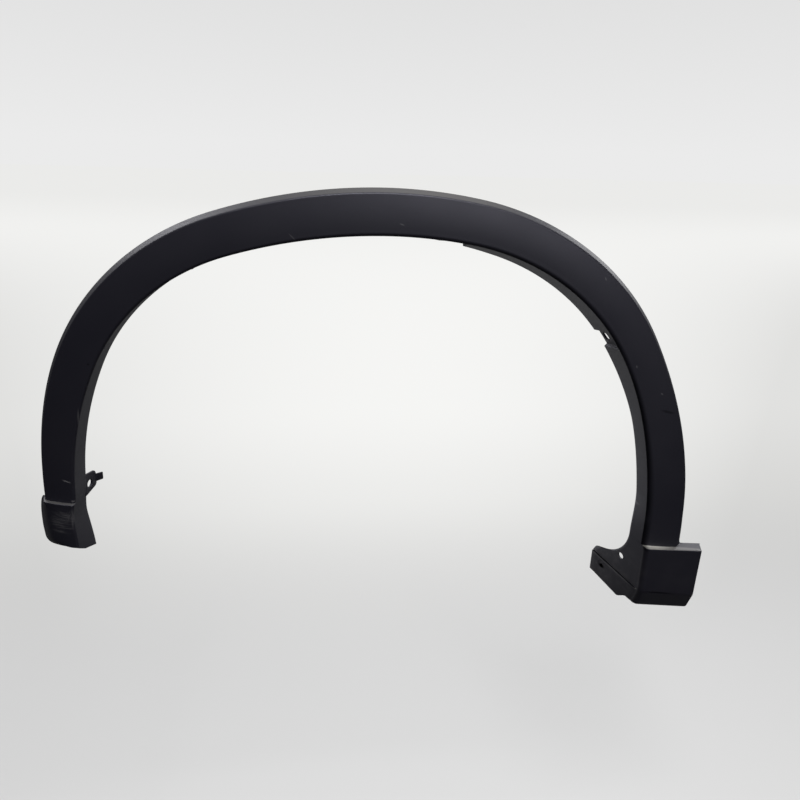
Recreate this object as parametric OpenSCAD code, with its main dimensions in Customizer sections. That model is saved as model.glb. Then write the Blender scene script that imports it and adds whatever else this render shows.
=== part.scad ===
// Wheel arch trim for a car wing, moulded in one piece, with its push-in clips.
// X runs along the car, Y into the wheel arch and Z up, in millimetres. The part keeps the
// attitude in which it hangs. The origin is where the middle clip meets the wing.

/* [Arch line] */
// Radius of the face's inner edge over the crown
crown_r = 640; // [560:5:720]
// Angle of the crown to the left of its highest point
crown_left_a = 16.5; // [12:0.5:20]
// Angle of the crown to the right of its highest point
crown_right_a = 9.5; // [7:0.5:13]
// Radius of the left shoulder
shoulder_left_r = 277; // [255:1:300]
// Angle of the left shoulder
shoulder_left_a = 46.5; // [42:0.5:50]
// Radius of the right shoulder
shoulder_right_r = 327; // [305:1:350]
// Angle of the right shoulder
shoulder_right_a = 48.5; // [45:0.5:52]
// Radius of the left leg
leg_left_r = 490; // [440:5:560]
// Radius of the right leg
leg_right_r = 605; // [540:5:680]
// Length of the left leg that is curved, above its straight end
leg_left_arc = 231; // [215:1:245]
// Length of the right leg that is curved, above its straight end
leg_right_arc = 301; // [280:1:320]
// Length of the left leg, from the shoulder to the cap
leg_left_len = 192; // [180:1:205]
// Length of the right leg, from the shoulder to the box
leg_right_len = 324; // [305:1:345]
// How far the part hangs turned from the car's level line
hang_tilt = 10; // [4:0.5:14]
// How far the legs fall back behind the crown, to follow the wing
bow_d = 12; // [0:0.5:20]
// Half of the width over which the wing falls back that far
bow_half = 450; // [400:5:500]
// Place along the car where the trim stands furthest out
bow_x = -20; // [-40:1:10]

/* [Band] */
// Wall thickness of the moulding
wall = 2.8; // [2.2:0.1:3.2]
// Height of the face over the wing
stand_off = 10; // [9:0.5:12]
// Crowning of the face across its width
face_crown = 1; // [0.4:0.1:1.6]
// Width of the outer bevel
bevel_w = 5.5; // [4:0.5:7]
// Width of the outer bevel on the left leg
bevel_left_w = 4.5; // [4:0.5:6]
// Width of the outer bevel at the right foot
bevel_foot_w = 9; // [7:0.5:11]
// Rounding between the face and the bevel
crease_r = 1.4; // [0.8:0.1:2]
// Width of the face at the left foot
face_w_left_foot = 38; // [35:0.5:41]
// Width of the face at the top of the left leg
face_w_left = 42.5; // [39:0.5:46]
// Width of the face at the crown
face_w_crown = 46; // [42:0.5:50]
// Width of the face at the right shoulder
face_w_right = 43.5; // [40:0.5:47]
// Width of the face at the right foot
face_w_right_foot = 51.5; // [48:0.5:54]
// Width of the inner turn on the left leg
turn_left_w = 3.4; // [3.3:0.1:4.5]
// Width of the inner turn at the crown
turn_crown_w = 5; // [4:0.1:6]
// Width of the inner turn on the right shoulder
turn_right_w = 7; // [6:0.1:8]
// Width of the inner turn above the box
turn_foot_w = 13; // [10:0.5:14]
// Depth of the inner turn
turn_d = 3.4; // [3.3:0.1:4.5]

/* [Flange] */
// Depth of the inner flange behind the face
flange_d = 36; // [33:0.5:38]
// Depth of the inner flange on the right leg
flange_leg_d = 28; // [26:0.5:30]
// How far the flange stands outside the arch line at the cap
outset_cap = 4.5; // [3:0.1:5]
// How far the flange stands inside the arch line on the left leg
inset_left = 0.2; // [0:0.1:1]
// How far the flange stands inside the arch line at the crown
inset_crown = 1.5; // [1:0.1:2.5]
// How far the flange stands inside the arch line on the right shoulder
inset_right = 3.6; // [3:0.1:4.5]
// How far the flange stands inside the arch line at the right foot
inset_foot = 9.5; // [8:0.1:10]
// Lean of the flange towards the wheel at the left foot
lean_left_foot = 8; // [6:0.5:11]
// Lean of the flange at the upper half of the cap
lean_cap = 3; // [2:0.5:5]
// Lean of the flange on the left leg
lean_left = 2.5; // [1:0.1:4]
// Lean of the flange at the crown
lean_crown = 2; // [0:0.5:4]
// Lean of the flange on the right shoulder
lean_right = 13.5; // [11:0.5:15]
// Lean of the flange on the right leg
lean_leg = 11; // [9:0.5:13]
// Lean of the side flange at the right foot
lean_right_foot = 18.5; // [17:0.5:20]
// Length of each recessed fixing pad
pad_len = 28; // [24:1:32]
// How far the pads are recessed
pad_recess = 4.7; // [4:0.1:5.5]
// Place of the upper pad along the arch line
pad_upper_s = 74; // [64:1:80]
// Place of the lower pad along the arch line
pad_lower_s = 335; // [325:1:345]
// Length of the slot in a pad
pad_slot_len = 13; // [11:0.5:14]
// Width of the slot in a pad
pad_slot_w = 8; // [6:0.5:9]

/* [Left foot] */
// Length of the raised cap
cap_len = 70; // [62:1:78]
// How far the cap stands proud of the face
cap_proud = 5; // [4:0.5:6]
// Width of the cap's outer bevel
cap_bevel_w = 15; // [12:0.5:16]
// Length over which the bevel widens on the cap
cap_flare = 45; // [35:1:55]
// Rounding between the cap's face and its bevel
cap_crease_r = 8; // [5:0.5:9]
// Rounding of the cap's outer lower corner
cap_corner_r = 10; // [7:0.5:12]
// How much lower the flange reaches than the cap
cap_flange_drop = 21; // [12:1:24]
// Length of the fixing ear along the flange
ear_len = 32; // [30:1:38]
// How far the ear reaches behind the flange
ear_reach = 24; // [22:0.5:26]
// Lean of the ear towards the wheel
ear_lean = 12; // [9:0.5:14]
// Distance of the ear's middle above the cap's step
ear_rise = 3.5; // [2:0.5:6]
// Diameter of the hole in the ear
ear_hole_d = 11; // [9:0.5:12]
// Distance of the hole from the flange
ear_hole_y = 8.5; // [7:0.5:10]
// Length of the tongue on the ear's end
tongue_len = 11.5; // [9:0.5:13]
// Width of the tongue
tongue_w = 10; // [8:0.5:11]
// How far the tongue is bent from the ear
tongue_a = 38; // [30:1:50]

/* [Right foot] */
// Height of the box, from its top to the fold
box_len = 83.5; // [78:0.5:88]
// How far the box stands proud of the face
box_proud = 9; // [7:0.5:11]
// How far the box's top falls towards its front
box_top_fall = 1.5; // [0.5:0.5:4]
// Slope of the box's top against the car's level line
box_top_skew = 2.5; // [0:0.5:4]
// Width of the box's face
box_w = 91; // [86:1:96]
// Width of the inner turn of the box
box_turn_w = 9.5; // [8:0.5:10]
// Depth of the inner turn of the box
box_turn_d = 7.5; // [6:0.5:9]
// Width of the box's outer bevel
box_bevel_w = 8; // [6:0.5:10]
// Rounding between the band's outer edge and the box's top
box_fillet_r = 8; // [5:0.5:10]
// Height of the skirt below the fold
skirt_h = 34.5; // [31:0.5:38]
// How far the skirt falls back at its lower edge
skirt_back = 12; // [9:0.5:14]
// Rounding of the skirt's outer lower corner
skirt_corner_r = 2.5; // [2:0.5:5]
// Depth of the side flange behind the wing line
side_d = 88.5; // [84:0.5:92]
// Depth of the rounding at the top of the side flange
side_fillet_d = 80; // [76:1:84]
// Height of the rounding at the top of the side flange
side_fillet_h = 75; // [71:1:78]
// Distance of the rounding's start above the fold
side_fillet_rise = 90; // [88:1:95]
// Diameter of the hole in the side flange
side_hole_d = 11; // [8:0.5:12]
// Height of that hole above the fold
side_hole_rise = 33.5; // [30:0.5:37]
// Depth of that hole behind the wing line
side_hole_y = 28.5; // [24:0.5:33]
// How far the foot strip stands proud of the side flange
strip_proud = 1.2; // [0.8:0.1:1.4]
// Width and depth of the groove above the foot strip
groove = 1.2; // [0.8:0.1:1.4]
// How much lower the foot strip reaches than the skirt
strip_drop = 14; // [10:1:16]
// Diameter of the screw hole in the foot strip
screw_hole_d = 6; // [4:0.5:7]
// Depth of the screw hole behind the wing line
screw_y = 66; // [60:1:70]
// Distance of the screw hole below the fold
screw_drop = 16; // [14:0.5:18]
// Diameter of the round seat of that screw
screw_seat_d = 18; // [14:0.5:20]
// Depth of that seat
screw_seat_t = 0.8; // [0.4:0.1:1]
// Length of the hollow boss behind the strip that takes the screw
screw_boss_len = 9; // [6:0.5:12]
// Wall of that boss
screw_boss_wall = 2; // [1.5:0.1:2.6]

/* [Clips] */
// Number of clips on each side of the middle one
clips_left = 3; // [2:1:3]
// Number of clips to the right of the middle one
clips_right = 4; // [3:1:4]
// Spacing of the clips along the arch line
clip_pitch = 150; // [140:1:160]
// Diameter of a clip's shank
clip_shank_d = 8; // [6.5:0.5:9]
// Length of the shank behind the wing line
clip_shank_len = 16; // [13:0.5:19]
// Length of the shank's plain neck, which fills the hole in the wing
clip_neck_len = 3; // [2:0.5:4]
// Number of barbs on the shank
clip_barbs = 4; // [3:1:5]
// Diameter of the clip's collar
clip_collar_d = 15; // [13:0.5:16]
// Thickness of the collar
clip_collar_t = 1.6; // [1.2:0.1:2]
// Diameter of the stud that is held in the tower
clip_stud_d = 6; // [5:0.5:7]
// Clearance between the stud and the tower's bore, on the radius
clip_clear = 0.1; // [0.05:0.05:0.2]
// Gap between the stud's end and the back of the face
clip_stud_gap = 0.4; // [0.2:0.1:0.8]
// Wall of the tower round the stud
tower_wall = 2.4; // [2:0.1:3]
// Thickness of the stiffening ribs behind the flange
rib_t = 1.8; // [1.4:0.1:2.2]

/* [Hidden] */
$fn = 40;

// Longest distance between two sections of the moulding
section_step = 17;
// Half of the face's width at the crown: the middle clip sits on this line
half_band = face_w_crown / 2;
// Length of a step's slope along the arch line
step_run = 0.7;
// Radius that stands for a straight line
straight_r = 1e6;
// Slope of the groove's two sides along the arch line
groove_run = 0.3;
// Rounding of the box's outer upper corner
edge_r = 1.2;
// Thickness of the moulding in the tightest bends of its hidden side
bend_wall = 0.6;
// Depth of the slots behind the wing line
pad_slot_y = 16;
// Length of the cutters that pierce the wall
cut = 16;
// Length by which a cutter or a root passes the surface that it starts from
over = 1;
// Lengths over which a section's sizes run into those of the cap, the box and the shoulders
cap_blend = 12;
box_blend = 90;
shoulder_blend = 40;
// Lengths above the feet over which the band's cross direction turns level
level_left = 120;
level_right = 140;
// Length over which the flange changes its depth below the right shoulder
depth_blend = 120;
// How steeply the cap's bevel widens at first
flare_power = 0.35;
// Shares of the fillet above the box by which the face narrows and the bevel widens
fillet_face = 0.3;
fillet_bevel = 0.6;
// Part of the side flange's rounding that is round, before it runs out straight, and that slope
side_round = 0.9;
side_run_out = 2.1;
// Slopes of the side flange's free edge above and below the fold
side_rake = 0.5;
strip_rake = 0.17;
// Depths between which the strip's lower end steps down from the skirt's, and its rise behind
strip_step_y = [13, 28];
strip_rise = 4;
// Lengths above the fold between which the flange's rows come together for that step
strip_run = [50, 20];
// Rows of the flange between its start and its free edge, as shares of the depth
flange_rows = [0.15, 0.6];
// Rounding between the face and the bevel on the hidden side
hidden_crease_r = 0.9;
// Length above the box over which the slope of its top fades
skew_run = 40;
// Angles of the sections on a rounded lower corner
corner_steps = [25, 50, 75];
// Depth to which the ear is rooted in the flange, and the size of its chamfered corners
ear_root = 3;
ear_chamfer = 3;
// Reach and depth of a stiffening rib from the back of the face
rib_reach = 14;
// Depth of the notches between a clip's barbs
barb_d = 1;

// Arc lengths of the crown and the shoulders, and the places of the feet
crown_left_len = crown_r * crown_left_a * PI / 180;
crown_right_len = crown_r * crown_right_a * PI / 180;
shoulder_left_len = shoulder_left_r * shoulder_left_a * PI / 180;
shoulder_right_len = shoulder_right_r * shoulder_right_a * PI / 180;
leg_left_s = -(crown_left_len + shoulder_left_len);
leg_right_s = crown_right_len + shoulder_right_len;
cap_s = leg_left_s - leg_left_len;
cap_end_s = cap_s - cap_len;
box_s = leg_right_s + leg_right_len;
fold_s = box_s + box_len;
foot_s = fold_s + skirt_h;
ear_s = cap_s + ear_rise;
flange_y = flange_d - stand_off;
leg_y = flange_leg_d - stand_off;
pads = [pad_upper_s, pad_lower_s];

function clamp01(t) = max(0, min(1, t));
function ramp(v, from, to) = clamp01((v - from) / (to - from));
function ease(t) = let (c = clamp01(t)) c * c * (3 - 2 * c);
function mix(a, b, t) = a + (b - a) * t;
function bow(x) = bow_d * (pow(x - bow_x, 2) - pow(bow_x, 2)) / pow(bow_half, 2);

// A value that runs smoothly through its named places: [[place, value], ...]
function along(s, t, i = 0) =
    s <= t[0][0] ? t[0][1]
    : i >= len(t) - 1 ? t[len(t) - 1][1]
    : s > t[i + 1][0] ? along(s, t, i + 1)
    : mix(t[i][1], t[i + 1][1], ease(ramp(s, t[i][0], t[i + 1][0])));

// The arch line is a chain of tangent arcs from its highest point: [radius, length] for a side
function chain(left) = left
    ? [[crown_r, crown_left_len], [shoulder_left_r, shoulder_left_len], [leg_left_r, leg_left_arc],
       [straight_r, 1]]
    : [[crown_r, crown_right_len], [shoulder_right_r, shoulder_right_len], [leg_right_r, leg_right_arc],
       [straight_r, 1]];

// Walks the chain for a length u: [outward run, drop, heading below the level]
function walk(u, arcs, i = 0, at = [0, 0, 0]) =
    let (last = i == len(arcs) - 1, r = arcs[i][0], d = last ? u : min(u, arcs[i][1]),
         h = at[2] + d / r * 180 / PI,
         next = [at[0] + r * (sin(h) - sin(at[2])), at[1] + r * (cos(h) - cos(at[2])), h])
    last || u <= d ? next : walk(u - d, arcs, i + 1, next);
function curve(s) = let (w = walk(abs(s), chain(s < 0))) [s < 0 ? -w[0] : w[0], w[1] - half_band, w[2]];

// Outward direction across the band, which turns to the car's level line at both feet
function across_a(s) =
    let (h = curve(s)[2])
    s < 0
        ? mix(h, 90 - hang_tilt, ease(ramp(-s, -cap_s - level_left, -cap_s)))
        : mix(h, 90 + hang_tilt, ease(ramp(s, box_s - level_right, box_s)));
function side(s) = s < 0 ? -1 : 1;

// A point of the part: n across the band, y into the arch and a along it, from place s
function place(s, n, y, a = 0) =
    let (c = curve(s), k = across_a(s), g = side(s),
         x = c[0] + g * (n * sin(k) + a * cos(c[2])),
         z = c[1] + n * cos(k) - a * sin(c[2]))
    [x, y + bow(x), z];

// Sizes of the section at a place along the arch line
function in_cap(s) = ramp(cap_s - s, 0, step_run);
function in_box(s) = ramp(s - box_s, -box_top_fall, step_run - box_top_fall);
function round_off(q, r) = r * (1 - sqrt(1 - pow(clamp01(q), 2)));
function face_w(s) =
    let (band = along(s, [[cap_s, face_w_left_foot], [leg_left_s, face_w_left], [0, face_w_crown],
                          [(crown_right_len + leg_right_s) / 2, face_w_right],
                          [leg_right_s, face_w_right], [box_s, face_w_right_foot]]))
    mix(band - fillet_face * foot_fillet(s), box_w, in_box(s))
    - round_off(ramp(s, box_s + step_run + edge_r, box_s - box_top_fall), edge_r) * in_box(s);
// How much the rounded lower corners take off the width
function corner_cut(s) =
    round_off(ramp(s, foot_s - skirt_corner_r, foot_s), skirt_corner_r)
    + round_off(ramp(s, cap_end_s + cap_corner_r, cap_end_s), cap_corner_r);
function face_y(s) =
    -stand_off - cap_proud * in_cap(s) - box_proud * ramp(s - box_s, -box_top_fall, step_run)
    + skirt_back * ramp(s, fold_s, foot_s);
function foot_fillet(s) =
    let (top = box_s - box_top_fall)
    round_off(ramp(s, top - box_fillet_r, top), box_fillet_r) * (1 - in_box(s));
function bevel(s) =
    let (band = along(s, [[cap_s + cap_blend, bevel_left_w], [leg_left_s, bevel_w],
                          [box_s - box_blend, bevel_w], [box_s, bevel_foot_w]]))
    mix(mix(band, cap_bevel_w, pow(ramp(cap_s - s, 0, cap_flare), flare_power)), box_bevel_w, in_box(s))
    + fillet_bevel * foot_fillet(s);
function turn_w(s) =
    mix(along(s, [[leg_left_s, turn_left_w], [0, turn_crown_w], [leg_right_s, turn_right_w],
                  [box_s, turn_foot_w]]), box_turn_w, in_box(s));
function turn_depth(s) = mix(turn_d, box_turn_d, in_box(s));
function inset(s) =
    along(s, [[cap_s - cap_len / 2, -outset_cap], [cap_s + cap_blend, inset_left],
              [leg_left_s, inset_left], [0, inset_crown], [leg_right_s, inset_right],
              [box_s - box_blend, inset_foot]]);
function lean(s) =
    along(s, [[cap_end_s, lean_left_foot], [cap_s - cap_len / 3, lean_cap],
              [cap_s + cap_blend, lean_left], [leg_left_s, lean_left],
              [0, lean_crown], [crown_right_len + shoulder_blend, lean_right],
              [leg_right_s - shoulder_blend, lean_right], [leg_right_s + shoulder_blend, lean_leg],
              [box_s - box_blend, lean_leg], [box_s - cap_blend, lean_right_foot]]);

// Depth of the flange's free edge: plain on the arch, then down the side flange of the foot
function side_rear(d) =
    let (q = ramp(d, -side_fillet_rise, side_fillet_h - side_fillet_rise),
         fillet = leg_y + side_fillet_d * (1 - sqrt(1 - pow(min(q, side_round), 2))),
         past = d + side_fillet_rise - side_round * side_fillet_h)
    q < side_round ? fillet
    : min(fillet + side_run_out * past, side_d - side_rake * max(0, -d)) + strip_rake * max(0, d);
function rear_y(s) =
    s > fold_s - side_fillet_rise ? side_rear(s - fold_s)
    : along(s, [[leg_right_s, flange_y], [leg_right_s + depth_blend, leg_y]]);
function in_pad(s, grow) =
    max([for (p = pads) min(ramp(s, p - grow - step_run, p - grow),
                            ramp(-s, -(p + pad_len + grow + step_run), -(p + pad_len + grow)))]);

// How far the skin of the side flange steps in or out below the groove
function strip_step(s) =
    s < fold_s ? 0
    : s < fold_s + groove ? groove * ramp(s, fold_s, fold_s + groove_run)
    : mix(groove, -strip_proud, ramp(s, fold_s + groove, fold_s + groove + groove_run));

// How far the lower ends reach along the arch line beyond their last section
function end_reach(s, y) =
    s < 0
    ? cap_flange_drop * sin(90 * ramp(y, face_y(cap_end_s), flange_y)) * pow(ramp(cap_s - s, 0, cap_len), 2)
    : (strip_drop * ramp(y, strip_step_y[0], strip_step_y[1]) - strip_rise * ramp(y, strip_step_y[1], side_d))
      * ramp(s, fold_s + 2 * groove, foot_s);

// How far a point of the foot is moved along the arch line, because the box's top is not level
function skew(s, n) =
    -tan(box_top_skew) * n * min(ramp(s, box_s - skew_run, box_s - box_top_fall), ramp(s, fold_s, box_s));

// One section: the visible skin (hid = 0) or the hidden skin, a wall behind it (hid = 1)
function section(s, hid) =
    let (q = hid == 0 ? s : s - side(s) * wall,
         w = face_w(q) - corner_cut(s), fy = face_y(q), b = bevel(q), tall = -fy,
         slope = norm([b, tall]) / tall,
         tw = turn_w(q), td = turn_depth(q),
         hw = hid == 0 ? tw : tw - wall,
         hd = hid == 0 ? td : max(td - wall, bend_wall),
         n0 = tw - inset(q),
         t = hid * wall,
         corner = hid == 0 ? w : w + b * t / tall - slope * t,
         plain_c = hid == 0 ? crease_r : hidden_crease_r,
         cap_c = (cap_crease_r - t - plain_c) * ramp(cap_s - q, 0, cap_blend),
         c = plain_c + cap_c,
         ln = lean(q), side_t = t / cos(ln),
         out = in_pad(q, t) * pad_recess + strip_step(q),
         start = fy + td, deep = rear_y(q),
         foot = ramp(s, fold_s - strip_run[0], fold_s - strip_run[1]),
         y1 = mix(mix(start, deep, flange_rows[0]), strip_step_y[0], foot),
         y2 = mix(mix(start, deep, flange_rows[1]), strip_step_y[1], foot))
    concat(
        [[w + b - slope * t, 0],
         [corner + b / tall * c, fy + t + c],
         [corner - 0.2 * c, fy + t + 0.25 * c],
         [corner - c, fy + t],
         for (f = [2 / 3, 1 / 3])
            [mix(n0, w - cap_c, f), fy + t - face_crown * 4 * f * (1 - f) * (1 - in_box(q))]],
        [for (k = [0:30:90]) [n0 - hw * sin(k), fy + td - hd * cos(k)]],
        [for (y = [y1, y2, deep]) [-inset(q) - tan(ln) * (y - start) + side_t + out, y]]);

// Places of the sections: close together at every step, evenly spaced between
function fill(a, b) = let (k = ceil((b - a) / section_step)) [for (i = [0:k - 1]) a + (b - a) * i / k];
function sorted(v) =
    len(v) < 2 ? v
    : let (p = v[floor(len(v) / 2)])
      concat(sorted([for (x = v) if (x < p) x]), [p], sorted([for (x = v) if (x > p) x]));
places = let (
    keys = sorted(concat(
        [cap_end_s, for (k = corner_steps) cap_end_s + cap_corner_r * (1 - cos(k)),
         cap_end_s + cap_corner_r],
        [for (t = [0, wall], d = [0, step_run]) cap_s - t - d],
        [0, for (k = [1, 0.5, 0.2]) box_s - box_top_fall - box_fillet_r * k],
        [cap_s - cap_blend / 3, cap_s - cap_blend],
        [for (p = pads, e = [0, pad_len], t = [0, wall], d = [0, step_run])
            p + e + (e == 0 ? -1 : 1) * (t + d)],
        [for (t = [0, wall], d = [-box_top_fall, step_run - box_top_fall, step_run, step_run + edge_r])
            box_s + t + d],
        [for (k = [0, 0.3, 0.5, 0.7, 0.82, side_round, 1]) fold_s - side_fillet_rise + side_fillet_h * k],
        [for (t = [0, wall], d = [0, groove_run, groove, groove + groove_run]) fold_s + t + d],
        [fold_s - box_bevel_w, foot_s - skirt_corner_r,
         for (k = corner_steps) foot_s - skirt_corner_r * (1 - cos(k)), foot_s])))
    concat([for (i = [0:len(keys) - 2]) each fill(keys[i], keys[i + 1])], [foot_s]);

function skin(s, hid) =
    [for (p = section(s, hid)) place(s, p[0], p[1], end_reach(s, p[1]) + skew(s, p[0]))];

// The whole shell: rings of visible and hidden skin, joined along both edges and at both ends
module shell() {
    rings = [for (s = places) concat(skin(s, 0), reverse(skin(s, 1)))];
    m = len(rings[0]);
    half = m / 2;
    last = (len(rings) - 1) * m;
    quads = concat(
        [for (i = [0:len(rings) - 2], j = [0:m - 1]) let (k = (j + 1) % m)
            [i * m + j, i * m + k, (i + 1) * m + k, (i + 1) * m + j]],
        [for (j = [0:half - 2]) [j, m - 1 - j, m - 2 - j, j + 1]],
        [for (j = [0:half - 2]) [last + j, last + j + 1, last + m - 2 - j, last + m - 1 - j]]);
    polyhedron(
        points = [for (r = rings) each r],
        faces = [for (q = quads) each [[q[2], q[1], q[0]], [q[3], q[2], q[0]]]]);
}
function reverse(v) = [for (i = [len(v) - 1:-1:0]) v[i]];

// Places what follows at a point of the flange: X along the arch, Y into it, Z away from the wheel
module on_flange(s, y, turn = 0) {
    c = curve(s);
    n = -inset(s) - tan(lean(s)) * (y - face_y(s) - turn_depth(s));
    translate(place(s, n, y)) rotate([0, side(s) * c[2], 0]) rotate([-turn, 0, 0]) children();
}

// Places what follows on the wing line behind the band, with Z into the arch
module behind_band(s, n) {
    translate(place(s, n, 0)) rotate([-90, 0, 0]) children();
}

// A slot through a pad, with round ends
module pad_slot(s) {
    straight = pad_slot_len - pad_slot_w;
    on_flange(s, pad_slot_y, lean(s)) translate([0, 0, -cut / 4]) {
        for (x = [-1, 1] * straight / 2) translate([x, 0, 0]) cylinder(d = pad_slot_w, h = cut);
        translate([-straight / 2, -pad_slot_w / 2, 0]) cube([straight, pad_slot_w, cut]);
    }
}

// The fixing ear behind the left leg's flange, with its hole and its tongue
module ear() {
    r = ear_reach;
    l = ear_len / 2;
    on_flange(ear_s, flange_y, ear_lean)
        difference() {
            union() {
                linear_extrude(wall)
                    polygon([[-l, -ear_root], [l, -ear_root], [l, 0], [0.75 * l, r - ear_chamfer],
                             [0.6 * l, r - ear_chamfer / 3], [0.45 * l, r], [-0.6 * l, r],
                             [-0.75 * l, r - ear_chamfer], [-l, 0]]);
                translate([-0.35 * l, r - over, 0]) rotate([-tongue_a, 0, 0])
                    cube([tongue_w, tongue_len, 0.8 * wall]);
            }
            translate([-0.1 * l, ear_hole_y, -over]) cylinder(d = ear_hole_d, h = wall + 2 * over);
        }
}

module tower(s) {
    h = stand_off - clip_collar_t - wall / 2;
    behind_band(s, face_w(s) / 2)
        translate([0, 0, -h - clip_collar_t])
            cylinder(d = clip_stud_d + 2 * (clip_clear + tower_wall), h = h);
}

module tower_bore(s) {
    behind_band(s, face_w(s) / 2)
        translate([0, 0, -stand_off + wall])
            cylinder(r = clip_stud_d / 2 + clip_clear, h = stand_off);
}

// A stiffening rib between the back of the face and the flange
module rib(s) {
    c = curve(s);
    translate(place(s, 0, 0)) rotate([0, side(s) * c[2], 0]) translate([-rib_t / 2, 0, 0])
        rotate([90, 0, 90]) linear_extrude(rib_t)
            polygon([[-stand_off + wall / 2, -over], [-stand_off + wall / 2, rib_reach],
                     [-over, rib_reach], [rib_reach, -over]]);
}

// Places what follows at the screw hole of the foot strip
module at_screw() {
    on_flange(fold_s + screw_drop, screw_y, lean_right_foot) children();
}

clip_places = [for (i = [-clips_left:clips_right]) i * clip_pitch];

module arch_trim() {
    color([0.13, 0.13, 0.15])
    difference() {
        union() {
            shell();
            ear();
            for (s = clip_places) tower(s);
            for (i = [-clips_left:clips_right - 1]) rib((i + 0.5) * clip_pitch);
            at_screw() cylinder(d = screw_hole_d + 2 * screw_boss_wall, h = wall - strip_proud + screw_boss_len);
        }
        for (s = clip_places) tower_bore(s);
        for (p = pads) pad_slot(p + pad_len / 2);
        on_flange(fold_s - side_hole_rise, side_hole_y, lean_right_foot)
            translate([0, 0, -cut / 2]) cylinder(d = side_hole_d, h = cut);
        at_screw() {
            translate([0, 0, -cut / 2]) cylinder(d = screw_hole_d, h = cut + screw_boss_len);
            translate([0, 0, -cut / 2 - strip_proud]) cylinder(d = screw_seat_d, h = cut / 2 + screw_seat_t);
        }
    }
}

// One clip as a single turned outline: stud, collar, then a barbed shank
module clip(s) {
    r = clip_shank_d / 2;
    pitch = (clip_shank_len - clip_neck_len) / (clip_barbs + 1);
    barb_y = [for (i = [0:clip_barbs - 1]) clip_neck_len + i * pitch];
    stud_end = -stand_off + wall + clip_stud_gap;
    behind_band(s, face_w(s) / 2)
        rotate_extrude($fn = 20) polygon(concat(
            [[0, stud_end], [clip_stud_d / 2, stud_end],
             [clip_stud_d / 2, -clip_collar_t], [clip_collar_d / 2, -clip_collar_t],
             [clip_collar_d / 2, 0], [r, 0], [r, clip_neck_len]],
            [for (y = barb_y) each [[r - barb_d, y + 0.4 * pitch], [r, y + 0.5 * pitch],
                                    [r - barb_d, y + 1.2 * pitch]]],
            [[r - 2 * barb_d, clip_shank_len], [0, clip_shank_len]]));
}

module retaining_clips() {
    color([0.82, 0.82, 0.78])
    for (s = clip_places) clip(s);
}

arch_trim();
retaining_clips();
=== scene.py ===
"""Wheel arch trim: one black grained moulding hung before a pale backdrop, with its push-in clips.

All shapes are worked out in millimetres in the part's own frame: X along the car, Y into the wheel
arch, Z up. They become metres when a mesh is made.
"""
import bpy
import numpy as np
from mathutils import Matrix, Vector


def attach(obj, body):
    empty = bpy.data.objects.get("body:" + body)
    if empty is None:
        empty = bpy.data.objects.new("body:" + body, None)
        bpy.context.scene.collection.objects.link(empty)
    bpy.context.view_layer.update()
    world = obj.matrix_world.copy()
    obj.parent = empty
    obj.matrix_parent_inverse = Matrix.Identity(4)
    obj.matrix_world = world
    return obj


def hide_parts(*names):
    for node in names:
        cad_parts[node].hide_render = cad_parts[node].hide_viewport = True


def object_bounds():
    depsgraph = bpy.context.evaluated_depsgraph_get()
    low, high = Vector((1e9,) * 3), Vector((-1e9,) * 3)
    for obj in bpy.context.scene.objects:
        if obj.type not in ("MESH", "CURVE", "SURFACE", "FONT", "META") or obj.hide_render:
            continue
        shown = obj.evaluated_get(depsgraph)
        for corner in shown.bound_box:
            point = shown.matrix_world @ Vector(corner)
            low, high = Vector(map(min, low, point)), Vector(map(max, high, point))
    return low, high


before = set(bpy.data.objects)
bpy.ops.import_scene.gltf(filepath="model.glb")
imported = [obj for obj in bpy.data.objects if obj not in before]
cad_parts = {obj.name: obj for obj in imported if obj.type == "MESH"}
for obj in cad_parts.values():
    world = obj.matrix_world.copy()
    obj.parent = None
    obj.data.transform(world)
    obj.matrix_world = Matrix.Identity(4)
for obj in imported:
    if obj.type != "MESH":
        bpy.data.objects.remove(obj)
cad_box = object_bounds()

# Arch line: radii and angles of the crown, shoulders and legs
CROWN_R = 640.0
CROWN_LEFT_A, CROWN_RIGHT_A = 16.5, 9.5
SHOULDER_LEFT_R, SHOULDER_LEFT_A = 277.0, 46.5
SHOULDER_RIGHT_R, SHOULDER_RIGHT_A = 327.0, 48.5
LEG_LEFT_R, LEG_LEFT_ARC = 490.0, 231.0
LEG_RIGHT_R, LEG_RIGHT_ARC = 605.0, 301.0
LEG_LEFT_LEN, LEG_RIGHT_LEN = 192.0, 324.0
# Tilt of the car's level line in degrees, and how far above each foot the sections start to turn to it
HANG_TILT = 10.0
LEVEL_LEFT, LEVEL_RIGHT = 120.0, 140.0
# Bow of the wing in plan: its depth, the half length that it takes, and where it stands furthest forward
BOW_D, BOW_HALF, BOW_X = 12.0, 450.0, -20.0

# Band
WALL = 2.8
STAND_OFF = 10.0
FACE_CROWN = 0.885
HALF_BAND = 23.0
TURN_D = 3.4
CREASE_R = 1.6
LIP_R = 0.5
HIDDEN_CREASE_R, HIDDEN_TURN_D = 0.9, 0.6

# Flange
FLANGE_D, FLANGE_LEG_D = 36.0, 28.0
DEPTH_BLEND = 120.0
PAD_LEN, PAD_RECESS, PAD_RUN, PAD_SHARE = 28.0, 4.7, 1.6, 0.06
PADS = (74.0, 335.0)
SLOT_LEN, SLOT_W, SLOT_Y = 15.0, 9.5, 16.0

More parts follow.
